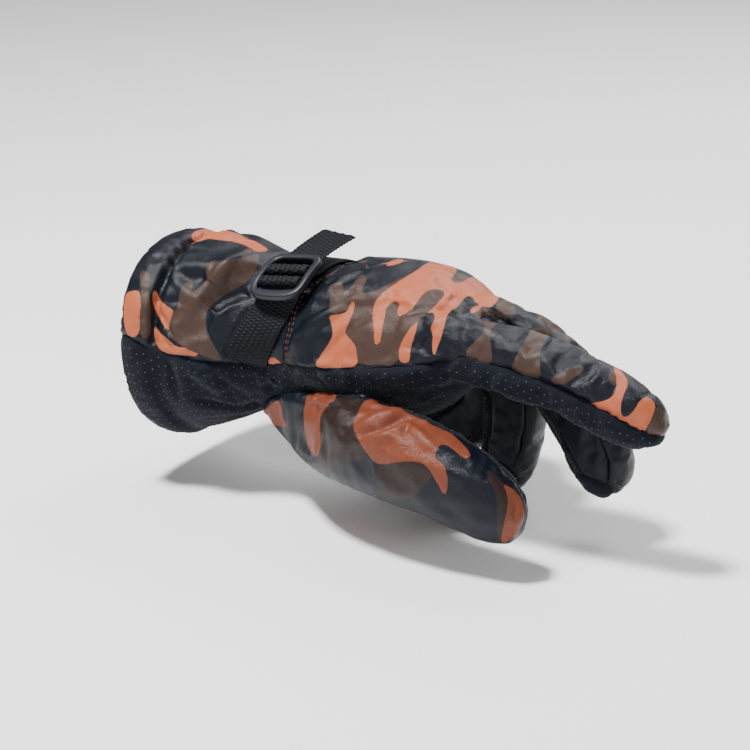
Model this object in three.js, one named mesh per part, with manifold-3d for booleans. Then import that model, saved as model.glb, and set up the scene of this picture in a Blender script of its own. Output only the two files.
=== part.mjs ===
// A padded winter riding glove for the left hand, in the shape that it has when it is worn with the
// fingers curled. Millimetres: +X runs from the cuff to the fingertips, +Z is out of the back of the
// hand and +Y is towards the little finger, so the thumb lies at -Y. The origin is the middle of the
// cuff's opening. The sewn panels are cut from one hollow shell, with a small clear gap at each seam.
import * as THREE from "three";
import { mergeVertices } from "three/addons/utils/BufferGeometryUtils.js";
import Module from "manifold-3d";

const wasm = await Module();
wasm.setup();
const { degToRad } = THREE.MathUtils;

// Driving dimensions
const wall = 3.6; // outer cloth, wadding and lining of the shell, together
const seamGap = 0.3; // clear space between two panels
const lining = { thickness: 1.8, depth: 44, proud: 1 }; // fleece that shows inside the cuff
const bodyLength = 168; // rim of the cuff to the first knuckle of the index finger
const palmLift = 20; // height of the hand's middle above the middle of the cuff
const cuff = { width: 98, height: 94, rimLean: -4, rimTurn: 4 };
const wrist = { width: 80, height: 66 };
const hand = { width: 107, height: 52, roll: 9, slant: 17 };
const sides = { body: 28, bodyInside: 20, digit: 14, digitInside: 10 };
const squareness = 2.2; // exponent of the rounded sections: 2 is an ellipse

// Sections of the cuff, wrist and hand, from the rim to the finger webs. at is a share of bodyLength,
// width and height are shares of the named zone's and lift of palmLift. tilt, roll and slant are shares
// of the rim's lean and turn, the hand's roll and the slant of its knuckles. seam is the height of the
// seam between the back and the palm above the section's middle, as a share of half its height.
const bodySections = [
  { at: 0, zone: cuff, width: 0.95, height: 0.957, lift: 0, tilt: 1, roll: 0, slant: 0, seam: 0.2 },
  { at: 0.03, zone: cuff, width: 1, height: 0.996, lift: 0.015, tilt: 1, roll: 0, slant: 0, seam: 0.17 },
  { at: 0.07, zone: cuff, width: 0.99, height: 0.983, lift: 0.045, tilt: 0.95, roll: 0, slant: 0, seam: 0.11 },
  { at: 0.095, zone: cuff, width: 0.94, height: 0.9, lift: 0.095, tilt: 0.9, roll: 0, slant: 0, seam: 0.06 },
  { at: 0.125, zone: cuff, width: 0.97, height: 0.925, lift: 0.15, tilt: 0.8, roll: 0, slant: 0, seam: 0.01 },
  { at: 0.17, zone: cuff, width: 0.98, height: 0.894, lift: 0.225, tilt: 0.5, roll: 0, slant: 0, seam: -0.05 },
  { at: 0.25, zone: cuff, width: 0.93, height: 0.78, lift: 0.2, tilt: 0.2, roll: 0, slant: 0, seam: -0.08 },
  { at: 0.31, zone: wrist, width: 1, height: 1.03, lift: 0.26, tilt: 0, roll: 0, slant: 0, seam: -0.14 },
  { at: 0.35, zone: wrist, width: 0.95, height: 0.995, lift: 0.34, tilt: 0, roll: 0, slant: 0, seam: -0.18 },
  { at: 0.42, zone: wrist, width: 0.98, height: 0.952, lift: 0.395, tilt: 0, roll: 0, slant: 0, seam: -0.18 },
  { at: 0.475, zone: wrist, width: 1.04, height: 0.9, lift: 0.49, tilt: 0, roll: 0, slant: 0, seam: -0.2 },
  { at: 0.52, zone: hand, width: 0.86, height: 1.087, lift: 0.59, tilt: 0, roll: 0.1, slant: 0, seam: -0.26 },
  { at: 0.6, zone: hand, width: 0.92, height: 1.15, lift: 0.57, tilt: 0, roll: 0.4, slant: 0, seam: -0.25 },
  { at: 0.7, zone: hand, width: 0.98, height: 1.16, lift: 0.61, tilt: 0, roll: 0.8, slant: 0.15, seam: -0.25 },
  { at: 0.78, zone: hand, width: 1, height: 1.1, lift: 0.64, tilt: 0, roll: 1, slant: 0.45, seam: -0.22 },
  { at: 0.85, zone: hand, width: 0.99, height: 0.96, lift: 0.7, tilt: 0, roll: 1, slant: 0.8, seam: -0.16 },
  { at: 0.9, zone: hand, width: 0.96, height: 0.78, lift: 0.76, tilt: 0, roll: 1, slant: 1, seam: -0.1 },
  { at: 0.935, zone: hand, width: 0.92, height: 0.625, lift: 0.81, tilt: 0, roll: 1, slant: 1, seam: 0.05 },
  { at: 0.96, zone: hand, width: 0.85, height: 0.42, lift: 0.9, tilt: 0, roll: 1, slant: 1, seam: 0.2 },
];
const wristSeam = { at: 0.485, lean: 4 }; // between the cuff and the back of the hand, leaning forward

// The digits. start is where the middle line begins inside the hand: x as a share of bodyLength, y of
// the hand's width, z of palmLift. Each bone is a share of length, with its pitch and yaw in degrees.
const fingerWidth = 26; // with the clear space between neighbours left out
const fingers = {
  index: {
    start: { x: 0.8, y: -0.372, z: 1.13 }, length: 123.5, width: 0.99, height: 31, outerSide: -1,
    bones: [
      { share: 0.267, pitch: -2, yaw: -1 },
      { share: 0.291, pitch: -8, yaw: -2 },
      { share: 0.243, pitch: -17, yaw: -2 },
      { share: 0.199, pitch: -24, yaw: 0 },
    ],
  },
  middle: {
    start: { x: 0.8, y: -0.122, z: 1.35 }, length: 120, width: 1, height: 31, outerSide: 0,
    bones: [
      { share: 0.25, pitch: -6, yaw: 0 },
      { share: 0.275, pitch: -24, yaw: 0 },
      { share: 0.267, pitch: -56, yaw: 0 },
      { share: 0.208, pitch: -70, yaw: 0 },
    ],
  },
  ring: {
    start: { x: 0.74, y: 0.128, z: 0.86 }, length: 100, width: 1, height: 29, outerSide: 0,
    bones: [
      { share: 0.25, pitch: -12, yaw: 0 },
      { share: 0.27, pitch: -52, yaw: 0 },
      { share: 0.27, pitch: -94, yaw: 0 },
      { share: 0.21, pitch: -112, yaw: 0 },
    ],
  },
  little: {
    start: { x: 0.68, y: 0.37, z: 0.32 }, length: 95, width: 0.93, height: 27, outerSide: 1,
    bones: [
      { share: 0.265, pitch: -12, yaw: 2 },
      { share: 0.265, pitch: -62, yaw: 2 },
      { share: 0.265, pitch: -140, yaw: 0 },
      { share: 0.205, pitch: -172, yaw: 0 },
    ],
  },
};
const thumb = {
  start: { x: 0.37, y: -0.187, z: -0.66 }, length: 155, width: 1.54, height: 33,
  bones: [
    { share: 0.212, pitch: -7, yaw: -30 },
    { share: 0.218, pitch: -2, yaw: -31 },
    { share: 0.188, pitch: -5, yaw: -21 },
    { share: 0.165, pitch: -14, yaw: -11 },
    { share: 0.217, pitch: -24, yaw: -7 },
  ],
};
const fingerLateral = new THREE.Vector3(0, 1, 0);
const thumbLateral = new THREE.Vector3(0.15, -0.3, 0.94);

// Thickness along a digit, as a share of its width and height, at shares of its length. seam says how
// much of its height the side strip between a finger's back and its palm side still has there.
const fingerProfile = [
  { at: 0, size: 0.9, seam: 1 }, { at: 0.16, size: 0.91, seam: 1 }, { at: 0.3, size: 0.93, seam: 1 },
  { at: 0.44, size: 1.0, seam: 1 }, { at: 0.58, size: 0.98, seam: 1 }, { at: 0.72, size: 0.96, seam: 0.95 },
  { at: 0.84, size: 0.92, seam: 0.8 }, { at: 0.92, size: 0.82, seam: 0.55 },
  { at: 0.97, size: 0.62, seam: 0.3 }, { at: 1, size: 0.3, seam: 0.1 },
];
const thumbProfile = [
  { at: 0, size: 0.6 }, { at: 0.1, size: 0.7 }, { at: 0.2, size: 0.8 }, { at: 0.32, size: 0.93 },
  { at: 0.43, size: 1 }, { at: 0.6, size: 1.02 }, { at: 0.74, size: 0.98 }, { at: 0.84, size: 0.9 },
  { at: 0.92, size: 0.8 }, { at: 0.97, size: 0.64 }, { at: 1, size: 0.4 },
];
const stripHalf = 0.6; // half height of a side strip, as a share of half the finger's height
const stripEnd = 0.965; // where the side strips end, as a share of the finger's length
const indexSeam = 0.05; // edge of the back's cloth on the outer side of the index finger
const thumbSeam = -0.12; // edge of the thumb's back panel
const rootOverlap = { back: 0.12, strip: 0.04 }; // how far before the web a finger's panels begin

// Strap and ladder buckle
const strap = { width: 20, thickness: 1.2, clearance: 0.4 };
const tail = { length: 17, rise: 12 }; // free end beyond the buckle and the angle at which it rises
const buckle = {
  at: 0.418, angle: 122, lean: -16, width: 26, length: 26, thickness: 3, rail: 3, side: 2.5, bar: 2.4,
  firstBar: -4.4, secondBar: 2.8, corner: 4,
};

const looks = {
  cloth: { color: "#1c2026", roughness: 0.8 },
  camouflage: { color: "#6a4434", roughness: 0.5 },
  webbing: { color: "#15171b", roughness: 0.85 },
  plastic: { color: "#121417", roughness: 0.45 },
  fleece: { color: "#77736d", roughness: 1 },
};

// Value of a column at t, between the rows of a table whose "at" rises.
function column(rows, value, t) {
  const next = rows.findIndex((row) => row.at >= t);
  if (next <= 0) return value(rows[next === 0 ? 0 : rows.length - 1]);
  const [a, b] = [rows[next - 1], rows[next]];
  return THREE.MathUtils.lerp(value(a), value(b), (t - a.at) / (b.at - a.at));
}

function manifoldFrom(vertProperties, triVerts) {
  return new wasm.Manifold(new wasm.Mesh({ numProp: 3, vertProperties, triVerts }));
}

function manifoldOf(geometry) {
  geometry.deleteAttribute("normal");
  geometry.deleteAttribute("uv");
  const merged = mergeVertices(geometry, 1e-4);
  return manifoldFrom(merged.attributes.position.array, new Uint32Array(merged.index.array));
}

function geometryOf(solid) {
  const mesh = solid.getMesh();
  const geometry = new THREE.BufferGeometry();
  geometry.setAttribute("position", new THREE.BufferAttribute(mesh.vertProperties.slice(), mesh.numProp));
  geometry.setIndex(new THREE.BufferAttribute(mesh.triVerts.slice(), 1));
  geometry.computeVertexNormals();
  return geometry;
}

const unite = (solids) => solids.reduce((sum, solid) => sum.add(solid));

// A closed solid through rings of points, each ring with as many points as the others.
function loft(rings) {
  const count = rings[0].length;
  const vertices = rings.flat();
  const faces = [];
  const middle = (ring) => ring.reduce((sum, p) => sum.add(p), new THREE.Vector3()).divideScalar(count);
  const last = (rings.length - 1) * count;
  vertices.push(middle(rings[0]), middle(rings[rings.length - 1]));
  for (let k = 0; k < count; k++) {
    const n = (k + 1) % count;
    for (let i = 0; i < last; i += count) {
      faces.push(i + k, i + n, i + k + count, i + n, i + n + count, i + k + count);
    }
    faces.push(n, k, vertices.length - 2, last + k, last + n, vertices.length - 1);
  }
  return manifoldFrom(new Float32Array(vertices.flatMap((p) => [p.x, p.y, p.z])), new Uint32Array(faces));
}

// A point of a rounded section: halfWidth along side and halfHeight along up, round the middle.
function roundPoint({ middle, side, up, halfWidth, halfHeight }, angle) {
  const rounded = (value) => Math.sign(value) * Math.abs(value) ** (2 / squareness);
  return middle.clone()
    .addScaledVector(side, halfWidth * rounded(Math.cos(angle)))
    .addScaledVector(up, halfHeight * rounded(Math.sin(angle)));
}

function roundRing(section, inset, count) {
  const { halfWidth, halfHeight } = section;
  const smaller = { ...section, halfWidth: halfWidth - inset, halfHeight: halfHeight - inset };
  return Array.from({ length: count }, (_, k) => roundPoint(smaller, (k / count) * 2 * Math.PI));
}

// A section with straight sides, its corners given along side and up.
function cornerRing({ middle, side, up }, corners) {
  return corners.map(([s, u]) => middle.clone().addScaledVector(side, s).addScaledVector(up, u));
}

const rectangle = ([left, right], [low, high]) => [[left, low], [right, low], [right, high], [left, high]];

// Cuff, wrist and hand

function bodySection(t) {
  const value = (of) => column(bodySections, of, t);
  const tilt = value((row) => row.tilt);
  const [lean, turn] = [cuff.rimLean, cuff.rimTurn].map((angle) => tilt * degToRad(angle));
  const roll = value((row) => row.roll) * degToRad(hand.roll);
  const slant = value((row) => row.slant) * Math.tan(degToRad(hand.slant));
  const side = new THREE.Vector3(Math.sin(turn) - slant, Math.cos(turn), -Math.sin(roll)).normalize();
  const forward = new THREE.Vector3(Math.cos(lean), 0, -Math.sin(lean));
  return {
    middle: new THREE.Vector3(t * bodyLength, 0, value((row) => row.lift) * palmLift),
    side,
    up: forward.cross(side).normalize(),
    halfWidth: (value((row) => row.width * row.zone.width) / 2) * Math.hypot(1, slant),
    halfHeight: value((row) => row.height * row.zone.height) / 2,
    seam: value((row) => row.seam),
  };
}

const lastAt = bodySections[bodySections.length - 1].at;

// The body's form, taken in by inset between two shares of its length. extra runs it on past the rim.
function bodySolid(inset, from, to, extra = 0) {
  const stations = [from, ...bodySections.map((row) => row.at).filter((at) => at > from && at < to), to];
  const rings = stations.map((t) => {
    const section = bodySection(t);
    if (t === lastAt) section.middle.x -= inset;
    return roundRing(section, inset, inset > 0 ? sides.bodyInside : sides.body);
  });
  if (extra) rings.unshift(rings[0].map((p) => new THREE.Vector3(p.x - extra, p.y, p.z)));
  return loft(rings);
}

// All of the space on the back's side of the long seam, moved towards the palm by offset.
function backSpace(offset) {
  return loft([-0.2, ...bodySections.map((row) => row.at), lastAt + 0.01].map((t) => {
    const section = bodySection(THREE.MathUtils.clamp(t, 0, lastAt));
    section.middle.x = t * bodyLength;
    const low = section.seam * section.halfHeight - offset;
    return cornerRing(section, rectangle([-hand.width, hand.width], [low, hand.width]));
  }));
}

// The space on the fingers' side of the cross seam, with that seam moved along by offset.
function pastWrist(offset) {
  const lean = (wristSeam.lean * hand.width) / (wrist.height / 2);
  const x = wristSeam.at * bodyLength + offset;
  const [far, wide] = [3 * bodyLength, hand.width];
  const corners = [[x - lean, -wide], [far, -wide], [far, wide], [x + lean, wide]];
  return loft([wide, -wide].map((y) => corners.map(([cx, cz]) => new THREE.Vector3(cx, y, cz))));
}

// Digits

function digitCurve(digit) {
  const { x, y, z } = digit.start;
  const point = new THREE.Vector3(x * bodyLength, y * hand.width, z * palmLift);
  const points = [point.clone()];
  digit.bones.forEach(({ share, pitch, yaw }) => {
    const [dip, turn] = [pitch, yaw].map(degToRad);
    const level = Math.cos(dip);
    const along = new THREE.Vector3(level * Math.cos(turn), level * Math.sin(turn), Math.sin(dip));
    points.push(point.addScaledVector(along, share * digit.length).clone());
  });
  return new THREE.CatmullRomCurve3(points, false, "centripetal");
}

// Section of a digit at a share of its length, before the profile's narrowing.
function digitSection(digit, curve, lateral, t) {
  const inside = THREE.MathUtils.clamp(t, 0, 1);
  const along = curve.getTangentAt(inside);
  const up = new THREE.Vector3().crossVectors(along, lateral).normalize();
  return {
    middle: curve.getPointAt(inside).addScaledVector(along, (t - inside) * digit.length),
    side: new THREE.Vector3().crossVectors(up, along),
    up,
    halfWidth: (digit.width * fingerWidth) / 2,
    halfHeight: digit.height / 2,
  };
}

function digitSolid(digit, profile, lateral, inset) {
  const curve = digitCurve(digit);
  const rings = profile.map(({ at, size }) => {
    const section = digitSection(digit, curve, lateral, at - (at > 0.9 ? inset / digit.length : 0));
    section.halfWidth = Math.max(section.halfWidth * size, inset + 1.5);
    section.halfHeight = Math.max(section.halfHeight * size, inset + 1.5);
    return roundRing(section, inset, inset > 0 ? sides.digitInside : sides.digit);
  });
  return loft(rings);
}

// A block along a digit. corners gives each section's corners, in shares of half the width and height,
// from the share of the strip's height that is left there.
function digitBlock(digit, profile, lateral, [from, to], corners) {
  const curve = digitCurve(digit);
  const stations = [from, ...profile.map((row) => row.at).filter((at) => at > from && at < to), to];
  return loft(stations.map((t) => {
    const section = digitSection(digit, curve, lateral, t);
    const left = column(profile, (row) => row.seam ?? 1, t);
    const { halfWidth, halfHeight } = section;
    return cornerRing(section, corners(left).map(([s, u]) => [s * halfWidth, u * halfHeight]));
  }));
}

const fingerNames = Object.keys(fingers);
const handEnd = lastAt * bodyLength;

// The share of its length at which a finger leaves the hand.
function webShare(finger) {
  const curve = digitCurve(finger);
  const past = (p) => p.x + p.y * Math.tan(degToRad(hand.slant)) > handEnd - wall;
  for (let t = 0; t < 0.5; t += 0.01) if (past(curve.getPointAt(t))) return t;
  return 0.5;
}

// The back's share of a finger, moved towards the palm by offset.
function fingerBack(finger, offset) {
  const drop = (2 * offset) / finger.height;
  const seams = { "-1": [indexSeam, 0], 0: [0, 0], 1: [0, 0] }[finger.outerSide];
  const reach = [webShare(finger) - rootOverlap.back, 1.08];
  return digitBlock(finger, fingerProfile, fingerLateral, reach, () => [
    [-1.03, seams[0] - drop], [1.03, seams[1] - drop], [1.03, 1.5], [-1.03, 1.5],
  ]);
}

// The strip between two neighbouring fingers: a band on each of them, joined by the web at their roots.
function sideStrip(left, right, grow) {
  const band = (finger, sign) => {
    const reach = [webShare(finger) - rootOverlap.strip, stripEnd + grow / finger.length];
    return digitBlock(finger, fingerProfile, fingerLateral, reach, (share) => {
      const high = stripHalf * share + (2 * grow) / finger.height;
      const [inner, outer] = [0.16 - (2 * grow) / fingerWidth, 1.03];
      return rectangle(sign > 0 ? [inner, outer] : [-outer, -inner], [-high, high]);
    });
  };
  const y = ((left.start.y + right.start.y) / 2) * hand.width;
  const roots = [left, right].map((finger) => (
    { at: digitCurve(finger).getPointAt(webShare(finger)), half: (stripHalf * finger.height) / 2 }));
  const low = Math.min(...roots.map(({ at, half }) => at.z - half)) - grow;
  const high = Math.max(...roots.map(({ at, half }) => at.z + half)) + grow;
  const from = Math.min(...roots.map(({ at }) => at.x)) - wall - 1 - grow;
  const to = Math.max(...roots.map(({ at }) => at.x)) + wall + grow;
  const corners = rectangle([-wall * 1.2 - grow, wall * 1.2 + grow], [low, high]);
  const ends = [from, to].map((x) => cornerRing(
    { middle: new THREE.Vector3(x, y, 0), side: fingerLateral, up: new THREE.Vector3(0, 0, 1) }, corners));
  return unite([band(left, 1), band(right, -1), loft(ends)]);
}

const digits = fingerNames.map((name) => fingers[name]);
const fingerSolid = (inset) => (finger) => digitSolid(finger, fingerProfile, fingerLateral, inset);
const thumbSolid = (inset) => digitSolid(thumb, thumbProfile, thumbLateral, inset);
const handOuter = unite([bodySolid(0, 0, lastAt), ...digits.map(fingerSolid(0))]);
const hollow = unite([bodySolid(wall, 0, lastAt, 20), ...digits.map(fingerSolid(wall)), thumbSolid(wall)]);
const handShell = handOuter.subtract(hollow);
const thumbShell = thumbSolid(0).subtract(hollow).subtract(bodySolid(-seamGap, 0, lastAt));

const stripPairs = [[0, 1], [1, 2], [2, 3]].map((pair) => pair.map((i) => digits[i]));
const strips = unite(stripPairs.map(([left, right]) => sideStrip(left, right, seamGap)));
const backAll = (offset) => {
  return unite([backSpace(offset), ...digits.map((finger) => fingerBack(finger, offset))]);
};

// Strap and buckle. They lie in a plane across the glove, whose normal, across, runs along the bars.

const lean = degToRad(buckle.lean);
const across = new THREE.Vector3(Math.cos(lean), Math.sin(lean), 0);
const buckleBase = bodySection(buckle.at);
const buckleAngle = degToRad(buckle.angle);

// The glove's outline in that plane, at an angle round it: the outermost one under the strap's width.
function underStrap(angle) {
  const anchor = roundPoint(buckleBase, buckleAngle);
  const onPlane = (shift) => {
    let t = buckle.at;
    let point = anchor;
    for (let pass = 0; pass < 6; pass++) {
      point = roundPoint(bodySection(t), angle);
      t -= (point.clone().sub(anchor).dot(across) - shift) / across.x / bodyLength;
    }
    return point.addScaledVector(across, -shift);
  };
  const reach = (p) => p.distanceTo(buckleBase.middle);
  return [-0.6, -0.3, 0, 0.3, 0.6].map((share) => onPlane(share * strap.width))
    .reduce((far, p) => (reach(p) > reach(far) ? p : far));
}

const foot = underStrap(buckleAngle);
const alongStrap = underStrap(buckleAngle - 0.15).sub(underStrap(buckleAngle + 0.15)).normalize();
const outward = new THREE.Vector3().crossVectors(across, alongStrap);
const nearBuckle = ([s, n]) => foot.clone().addScaledVector(alongStrap, s).addScaledVector(outward, n);
const layer = strap.thickness + strap.clearance;
const onGlove = strap.clearance + strap.thickness / 2; // height of the layer that lies on the glove
const frameHeight = 2 * layer + strap.clearance + buckle.thickness / 2; // middle of the buckle's frame

// Points of the run on the glove between two angles, as far as they are clear of the buckle.
function gloveRun(from, to) {
  const steps = 14;
  return Array.from({ length: steps + 1 }, (_, k) => {
    const angle = THREE.MathUtils.lerp(from, to, k / steps);
    const [p, before, after] = [0, -0.05, 0.05].map((shift) => underStrap(angle + shift));
    const normal = new THREE.Vector3().crossVectors(across, before.sub(after)).normalize();
    return p.addScaledVector(normal, onGlove);
  }).filter((p) => Math.abs(p.clone().sub(foot).dot(alongStrap)) > buckle.length / 2 - 1);
}

// Round a bar from the side where the strap comes up to the side where it goes down.
function overBar(centre) {
  const [half, rise] = [buckle.bar, buckle.thickness].map((size) => (size - strap.thickness) / 2 + layer);
  return [[-1, -0.3], [-1, 0.5], [-0.85, 0.85], [-0.45, 1], [0.45, 1], [0.85, 0.85], [1, 0.5], [1, -0.3]]
    .map(([s, n]) => [centre + s * half, frameHeight + n * rise]);
}

function ribbon(points) {
  return loft(points.map((p, i) => {
    const [before, after] = [Math.max(i - 1, 0), Math.min(i + 1, points.length - 1)];
    const tangent = points[after].clone().sub(points[before]).normalize();
    const section = { middle: p, side: across, up: new THREE.Vector3().crossVectors(across, tangent) };
    const half = strap.thickness / 2;
    return cornerRing(section, rectangle([-strap.width / 2, strap.width / 2], [-half, half])).reverse();
  }));
}

// How far below the middle of the sides the straps come out of the long seam
const seamTurn = Math.asin(Math.abs(buckleBase.seam) ** (squareness / 2));
const end = buckle.length / 2;
// Points past a bar, each its distance along the strap and its height in layers of webbing
const pastBar = (bar, rows) => rows.map(([s, n]) => nearBuckle([bar + s, onGlove + n * layer]));
const lowerStrap = ribbon([
  ...gloveRun(Math.PI + seamTurn, buckleAngle),
  ...pastBar(buckle.firstBar, [[-5.4, 0.06], [-3.4, 0.8]]),
  ...overBar(buckle.firstBar).map(nearBuckle),
  ...pastBar(buckle.firstBar, [[1.8, 1.12], [0.5, 0.97], [-1, 0.95]]),
]);
const tailRise = degToRad(tail.rise);
const upperStrap = ribbon([
  ...gloveRun(-seamTurn, buckleAngle),
  ...pastBar(buckle.secondBar, [[3.2, 0.02], [0.2, 0.1], [-1.9, 0.8]]),
  ...overBar(buckle.secondBar).map(nearBuckle),
  ...pastBar(buckle.secondBar, [[2.9, 1.5], [4.4, 1.08]]),
  nearBuckle([end, onGlove + layer]),
  ...[0.12, 0.5, 1].map((share) => nearBuckle([
    end + tail.length * share * Math.cos(tailRise * Math.min(1, share * 4)),
    onGlove + layer + tail.length * share * Math.sin(tailRise * Math.min(1, share * 4)),
  ])),
]);

function roundedRectangle(path, [x0, x1], [y0, y1], r) {
  path.moveTo(x0 + r, y0).lineTo(x1 - r, y0).absarc(x1 - r, y0 + r, r, -Math.PI / 2, 0);
  path.lineTo(x1, y1 - r).absarc(x1 - r, y1 - r, r, 0, Math.PI / 2);
  path.lineTo(x0 + r, y1).absarc(x0 + r, y1 - r, r, Math.PI / 2, Math.PI);
  path.lineTo(x0, y0 + r).absarc(x0 + r, y0 + r, r, Math.PI, 1.5 * Math.PI);
  return path;
}

function buckleGeometry() {
  const [halfWidth, inner] = [buckle.width / 2, buckle.width / 2 - buckle.side];
  const outline = roundedRectangle(new THREE.Shape(), [-halfWidth, halfWidth], [-end, end], buckle.corner);
  const bars = [buckle.firstBar, buckle.secondBar].flatMap((c) => [c - buckle.bar / 2, c + buckle.bar / 2]);
  const edges = [-end + buckle.rail, ...bars, end - buckle.rail];
  for (let i = 0; i < edges.length; i += 2) {
    outline.holes.push(roundedRectangle(new THREE.Path(), [-inner, inner], [edges[i], edges[i + 1]], 0.8));
  }
  const extrusion = { depth: buckle.thickness, bevelEnabled: false, curveSegments: 5 };
  const place = new THREE.Matrix4().makeBasis(across, alongStrap, outward).setPosition(foot);
  return new THREE.ExtrudeGeometry(outline, extrusion)
    .translate(0, 0, frameHeight - buckle.thickness / 2)
    .applyMatrix4(place);
}

// Panels and the finished group

const thumbBlock = (seams) => {
  return digitBlock(thumb, thumbProfile, thumbLateral, [-0.1, 1.08], () => rectangle([-1.3, 1.3], seams));
};
const liningInset = wall + seamGap;
const liningEnd = lining.depth / bodyLength;
const solids = {
  cuff_back: [handShell.intersect(backSpace(0)).subtract(pastWrist(-seamGap / 2)), "camouflage"],
  back_panel: [handShell.intersect(backAll(0)).intersect(pastWrist(seamGap / 2)).subtract(strips), "camouflage"],
  palm_panel: [handShell.subtract(backAll(seamGap)).subtract(strips), "cloth"],
  thumb_back: [thumbShell.intersect(thumbBlock([thumbSeam, 1.6])), "camouflage"],
  thumb_front: [thumbShell.intersect(thumbBlock([-1.6, thumbSeam - (2 * seamGap) / thumb.height])), "cloth"],
  strap_lower: [lowerStrap, "webbing"],
  strap_upper: [upperStrap, "webbing"],
  lining: [
    bodySolid(liningInset, 0, liningEnd, lining.proud)
      .subtract(bodySolid(liningInset + lining.thickness, 0, liningEnd + 0.02, 20)),
    "fleece",
  ],
};
stripPairs.forEach(([left, right], i) => {
  const name = `side_strip_${fingerNames[i]}_${fingerNames[i + 1]}`;
  solids[name] = [handShell.intersect(sideStrip(left, right, 0)), "cloth"];
});

const group = new THREE.Group();
function addPiece(name, geometry, look) {
  const mesh = new THREE.Mesh(geometry, new THREE.MeshStandardMaterial({ metalness: 0, ...looks[look] }));
  mesh.name = name;
  group.add(mesh);
}
Object.entries(solids).forEach(([name, [solid, look]]) => addPiece(name, geometryOf(solid), look));
addPiece("buckle", geometryOf(manifoldOf(buckleGeometry())), "plastic");

export default group;
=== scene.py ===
import math
import time

import bpy
import numpy as np
from mathutils import Matrix, Vector
from mathutils.bvhtree import BVHTree


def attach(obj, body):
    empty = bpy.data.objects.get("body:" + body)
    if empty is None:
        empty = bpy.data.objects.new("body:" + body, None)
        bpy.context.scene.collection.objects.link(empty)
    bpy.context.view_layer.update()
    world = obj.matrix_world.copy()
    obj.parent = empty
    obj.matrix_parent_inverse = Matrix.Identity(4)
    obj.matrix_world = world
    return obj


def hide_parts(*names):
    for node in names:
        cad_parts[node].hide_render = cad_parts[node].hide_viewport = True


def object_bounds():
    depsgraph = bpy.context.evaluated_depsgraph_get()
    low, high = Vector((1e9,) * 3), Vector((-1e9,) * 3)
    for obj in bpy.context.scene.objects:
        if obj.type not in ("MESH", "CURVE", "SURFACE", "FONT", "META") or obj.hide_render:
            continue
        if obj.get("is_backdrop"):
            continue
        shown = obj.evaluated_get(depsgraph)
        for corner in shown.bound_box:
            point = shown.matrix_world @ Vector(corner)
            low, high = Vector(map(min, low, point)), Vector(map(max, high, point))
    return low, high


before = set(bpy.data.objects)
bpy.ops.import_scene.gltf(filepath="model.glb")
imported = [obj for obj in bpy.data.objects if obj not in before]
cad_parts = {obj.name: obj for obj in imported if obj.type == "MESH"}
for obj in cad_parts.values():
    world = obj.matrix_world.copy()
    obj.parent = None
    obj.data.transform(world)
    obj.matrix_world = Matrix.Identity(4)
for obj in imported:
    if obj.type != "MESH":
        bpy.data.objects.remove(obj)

# A padded winter riding glove for the left hand, as it is worn with the fingers curled.
# Tables and settings are in millimetres, as the makers of such gloves write them; meshes are in metres.
mm = 0.001
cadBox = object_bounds()
startTime = time.time()


def report(stage):
    print(f"{time.time() - startTime:6.1f} s  {stage}", flush=True)


# Sizes of the glove

glove = {
    "bodyLength": 168.0, "palmLift": 20.0, "wall": 3.6, "squareness": 2.2,
    "cuff": {"width": 98.0, "height": 94.0, "rimLean": -4.0, "rimTurn": 4.0},
    "wrist": {"width": 80.0, "height": 66.0},
    "hand": {"width": 107.0, "height": 52.0, "roll": 9.0, "slant": 17.0},
    "wristSeam": {"at": 0.448, "peak": 11.0, "centre": -2.0, "spread": 15.0},
    "fingerWidth": 26.0,
}
bodyColumns = ("at", "width", "height", "lift", "tilt", "roll", "slant", "seam")
bodyTable = {
    "cuff": [
        (0, 0.95, 0.957, 0, 1, 0, 0, 0.2),
        (0.03, 1, 0.996, 0.015, 1, 0, 0, 0.17),
        (0.07, 0.99, 0.983, 0.045, 0.95, 0, 0, 0.11),
        (0.095, 0.94, 0.9, 0.095, 0.9, 0, 0, 0.06),
        (0.125, 0.97, 0.925, 0.15, 0.8, 0, 0, 0.01),
        (0.17, 0.98, 0.894, 0.225, 0.5, 0, 0, -0.05),
        (0.25, 0.93, 0.78, 0.2, 0.2, 0, 0, -0.08),
    ],
    "wrist": [
        (0.31, 1, 1.03, 0.26, 0, 0, 0, -0.14),
        (0.35, 0.95, 0.995, 0.34, 0, 0, 0, -0.18),
        (0.42, 0.98, 0.952, 0.395, 0, 0, 0, -0.18),
        (0.475, 1.04, 0.9, 0.49, 0, 0, 0, -0.2),
    ],
    "hand": [
        (0.52, 0.86, 1.087, 0.59, 0, 0.1, 0, -0.26),
        (0.6, 0.92, 1.2, 0.505, 0, 0.4, 0, -0.195),
        (0.7, 0.98, 1.23, 0.52, 0, 0.8, 0.15, -0.175),
        (0.78, 1, 1.18, 0.54, 0, 1, 0.45, -0.135),
        (0.85, 0.99, 1.02, 0.62, 0, 1, 0.8, -0.09),
        (0.9, 0.96, 0.78, 0.76, 0, 1, 1, -0.1),
        (0.935, 0.92, 0.625, 0.81, 0, 1, 1, 0.05),
        (0.96, 0.85, 0.42, 0.9, 0, 1, 1, 0.2),
    ],
}
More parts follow.
